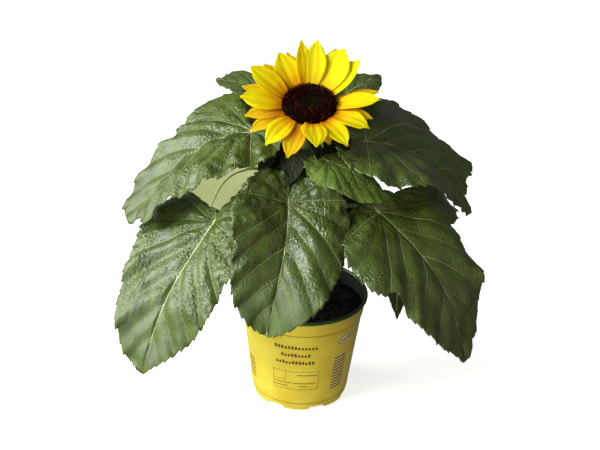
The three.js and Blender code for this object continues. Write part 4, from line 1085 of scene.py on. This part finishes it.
# Each petal's direction, lift, length, width, kind, turn about its own length and bend.
PETALS = [
    (0, 14, 42, 24, "fresh", 6, 20), (14, 10, 42, 16, "lower", 0, 10), (40, 34, 43, 26, "fresh", 12, 14),
    (58, 39, 44, 31, "fresh", 4, 14), (69, 26, 45, 18, "lower", 0, 10), (85, 45, 45, 22, "fresh", 6, 12),
    (101, 49, 45, 16, "upper", -14, 8), (112, 22, 40, 16, "lower", 0, 10), (123, 33, 39, 24, "upper", 8, 12),
    (139, 25, 38, 17, "lower", 4, 10), (154, 27, 44, 24, "upper", 6, 14), (168, 13, 41, 18, "lower", 4, 10),
    (183, 14, 41, 24, "upper", 6, 14), (214, 0, 40, 17, "lower", 6, 24), (233, -6, 40, 20, "upper", 6, 34),
    (253, -14, 39, 20, "lower", 4, 30), (277, 12, 40, 24, "upper", 6, 40), (291, 4, 30, 16, "lower", 2, 30),
    (304, 2, 40, 21, "upper", 4, 36), (330, 6, 40, 23, "upper", 4, 30), (345, 4, 36, 16, "lower", 2, 20),
    (199, 6, 38, 18, "lower", 4, 16),
]


def new_petal_skin(name, foot, middle, tip, roughness):
    """A petal's skin along its own map: foot to tip colour, and fine darker lines in the grooves."""
    made, tree, shader = new_surface(name, Roughness=roughness, IOR=1.2)
    strap = node(tree, "SeparateXYZ", {0: node(tree, "UVMap", uv_map="strap")})
    plan = node(tree, "UVMap", uv_map="plan")
    cloud = node(tree, "TexNoise", {"Vector": plan, "Scale": pattern_scale(9), "Detail": 2.0})
    drift = node(tree, "Math", {0: cloud, 1: 0.35, 2: strap.outputs[1]}, operation="MULTIPLY_ADD")
    ramp = node(tree, "ValToRGB", {0: drift})
    stops = ramp.color_ramp.elements
    stops[0].position, stops[0].color = 0.2, linear(foot)
    stops[1].position, stops[1].color = 0.9, linear(tip)
    stops.new(0.52).color = linear(middle)
    stretch = node(tree, "Mapping", {"Vector": plan, "Scale": (1.0, 0.06, 1.0)})
    lines = node(tree, "TexNoise", {"Vector": stretch, "Scale": pattern_scale(1.1), "Detail": 2.0})
    thin = node(tree, "MapRange", {"Value": lines, "From Min": 0.55, "From Max": 0.68, "To Max": 0.5})
    shade = node(tree, "Mix", {0: thin, 6: ramp.outputs[0], 7: linear(foot)}, data_type="RGBA").outputs[2]
    tree.links.new(shade, shader.inputs["Base Color"])
    bump = node(tree, "Bump", {"Height": lines, "Strength": 0.5, "Distance": 0.0005})
    tree.links.new(bump.outputs[0], shader.inputs["Normal"])
    glow = node(tree, "BsdfTranslucent", {"Color": shade, "Normal": bump})
    mixed = node(tree, "MixShader", {0: 0.36, 1: shader, 2: glow})
    tree.links.new(mixed.outputs[0], tree.nodes["Material Output"].inputs["Surface"])
    return made


# A petal is silky and lets some light through. Lower-whorl petals are painted more orange as painted shade.
PETAL_SKINS = {
    "upper": new_petal_skin("ray petal, silky yellow", "#ee9a0c", "#fbe40e", "#f8f014", 0.6),
    "lower": new_petal_skin("ray petal, lower whorl, painted shade", "#e09014", "#f2bc20", "#f2d41c", 0.6),
    "fresh": new_petal_skin("ray petal, fresh yellow", "#f2d010", "#f6ea10", "#f6f016", 0.6),
}
for number, (azimuth, lift, length, width, kind, turn, bend) in enumerate(PETALS):
    rng = np.random.default_rng(100 + number)
    notch, ruffle, twist = rng.uniform(1.4, 3.4), rng.uniform(0.5, 1.5), rng.uniform(-9, 9)
    grooves, skew = rng.uniform(2.2, 3.6), rng.uniform(-0.8, 0.8)

    def petal_outline(s):
        plain = 0.5 * (1 - s) ** 2.5 + np.clip(np.sin(math.pi * s ** 1.08), 0, 1) ** 0.92
        return np.maximum(width / 2 * plain / 1.04, 1.5 * smooth(0.8, 1.0, s) + 0.02)

    def petal_relief(s, u, half):
        keel = 0.16 * half * np.abs(u) ** 1.4
        bent = u + 0.18 * field(s * 30 + 0 * u, number + 0 * s * u, 12.0, 7)
        ends = smooth(0.02, 0.2, s) * (1 - smooth(0.85, 1.0, s))
        folds = 0.3 * np.cos(grooves * math.pi * bent + skew) * ends
        edge = ruffle * np.abs(u) ** 3 * field(s * 40 + 0 * u, np.sign(u) * 9 + 0 * s, 11.0, number + 1)
        scallop = (0.5 - 0.5 * np.cos(2.6 * math.pi * u + skew)) * (0.4 + np.abs(u))
        pulled = -notch * smooth(0.82, 1.0, s) * scallop
        return keel + folds + edge, pulled

    turns = turn + twist * np.linspace(0, 1, PETAL_ROWS) ** 2
    sheet, quads, share, u = ray_sheet(azimuth, lift, bend, turns, PETAL_START, PETAL_LEVELS[kind],
                                       length + 0.9, PETAL_ROWS, PETAL_COLUMNS, petal_outline, petal_relief)
    solid, faces, _ = thickened(sheet, quads, PETAL_THICKNESS)
    strap = np.stack(np.broadcast_arrays(u[None, :], share[:, None]), -1).reshape(-1, 2)
    across = u[None, :] * petal_outline(share)[:, None]
    plan = np.stack([across, share[:, None] * length + 0 * u[None, :]], -1)
    plan = plan.reshape(-1, 2) * MM + number * 0.1
    loops = np.concatenate([np.array(f) for f in faces]) % len(sheet)
    solids = [f"petal_{number + 1:02d}"] if number < SOLID_PETALS else []
    make_piece(f"ray_petal_{number + 1:02d}", on_head(solid), faces, [PETAL_SKINS[kind]], solids,
               maps={"strap": strap[loops], "plan": plan[loops]})

# The floor and the light.
# The plant stands on plain white paper. A large soft light and a wide window stand at the upper left, with
# weak fill from the right and a low light from the front left. The paper glows softly, and neither lights the
# plant nor shows in its gloss.
floor_mesh = bpy.data.meshes.new("floor")
floor_mesh.from_pydata([(-6, -6, 0), (6, -6, 0), (6, 6, 0), (-6, 6, 0)], [], [(0, 1, 2, 3)])
floor = bpy.data.objects.new("floor", floor_mesh)
bpy.context.scene.collection.objects.link(floor)
paper, _, _ = new_surface("white studio paper", Base_Color=linear("#f6f6f4"), Roughness=0.9,
                          Emission_Color=linear("#ffffff"), Emission_Strength=0.7)
floor.visible_diffuse = False
floor.visible_glossy = False
floor_mesh.materials.append(paper)


def soft_light(name, spot, power, size, code="#ffffff"):
    """A square soft light, placed in metres and aimed at the middle of the plant."""
    lamp = bpy.data.lights.new(name, "AREA")
    lamp.energy, lamp.size, lamp.color = power, size, linear(code)[:3]
    made = bpy.data.objects.new(name, lamp)
    made.location = spot
    made.rotation_euler = (Vector((0, 0, 0.22)) - Vector(spot)).to_track_quat("-Z", "Y").to_euler()
    bpy.context.scene.collection.objects.link(made)


soft_light("key_light", (-1.73, -1.08, 1.5), 62.0, 1.1)
soft_light("window_light", (-3.2, 0.3, 1.4), 130.0, 2.2)
soft_light("fill_light", (1.6, -1.3, 0.6), 5.0, 1.0, "#ffe0b8")
soft_light("low_light", (-1.2, -1.6, 0.2), 17.0, 1.6)
# A narrow spot reaches in under the leaves and lights the pot alone.
beam = bpy.data.lights.new("pot_spot", "SPOT")
beam.energy, beam.spot_size, beam.spot_blend, beam.shadow_soft_size = 75.0, math.radians(7), 0.7, 0.12
beam.color = linear("#fffbea")[:3]
spot = bpy.data.objects.new("pot_spot", beam)
spot.location = (-0.7, -1.85, 0.1)
spot.rotation_euler = (Vector((0.0, 0.0, 0.02)) - spot.location).to_track_quat("-Z", "Y").to_euler()
bpy.context.scene.collection.objects.link(spot)
world = bpy.data.worlds.new("studio")
world.use_nodes = True
world.node_tree.nodes["Background"].inputs["Color"].default_value = linear("#f2f4f6")
world.node_tree.nodes["Background"].inputs["Strength"].default_value = 0.17
bpy.context.scene.world = world
bpy.context.scene.view_settings.view_transform = "Standard"

# The camera.
# It looks down on the plant from the front through a long lens, a little rolled, as the photograph does.
CAMERA_DISTANCE = 1.6
CAMERA_AIM = Vector((-0.0063, 0.0, 0.1898))
CAMERA_ELEVATION = math.radians(28)
CAMERA_ROLL = math.radians(2.4)
lens = bpy.data.cameras.new("camera")
lens.sensor_width, lens.lens = 36.0, 95.82
camera = bpy.data.objects.new("camera", lens)
camera_way = Vector((0, -math.cos(CAMERA_ELEVATION), math.sin(CAMERA_ELEVATION)))
camera.location = CAMERA_AIM + CAMERA_DISTANCE * camera_way
tilt = Euler((math.radians(90) - CAMERA_ELEVATION, 0, 0)).to_quaternion()
camera.rotation_euler = (tilt @ Quaternion((0, 0, 1), CAMERA_ROLL)).to_euler()
bpy.context.scene.collection.objects.link(camera)
bpy.context.scene.camera = camera
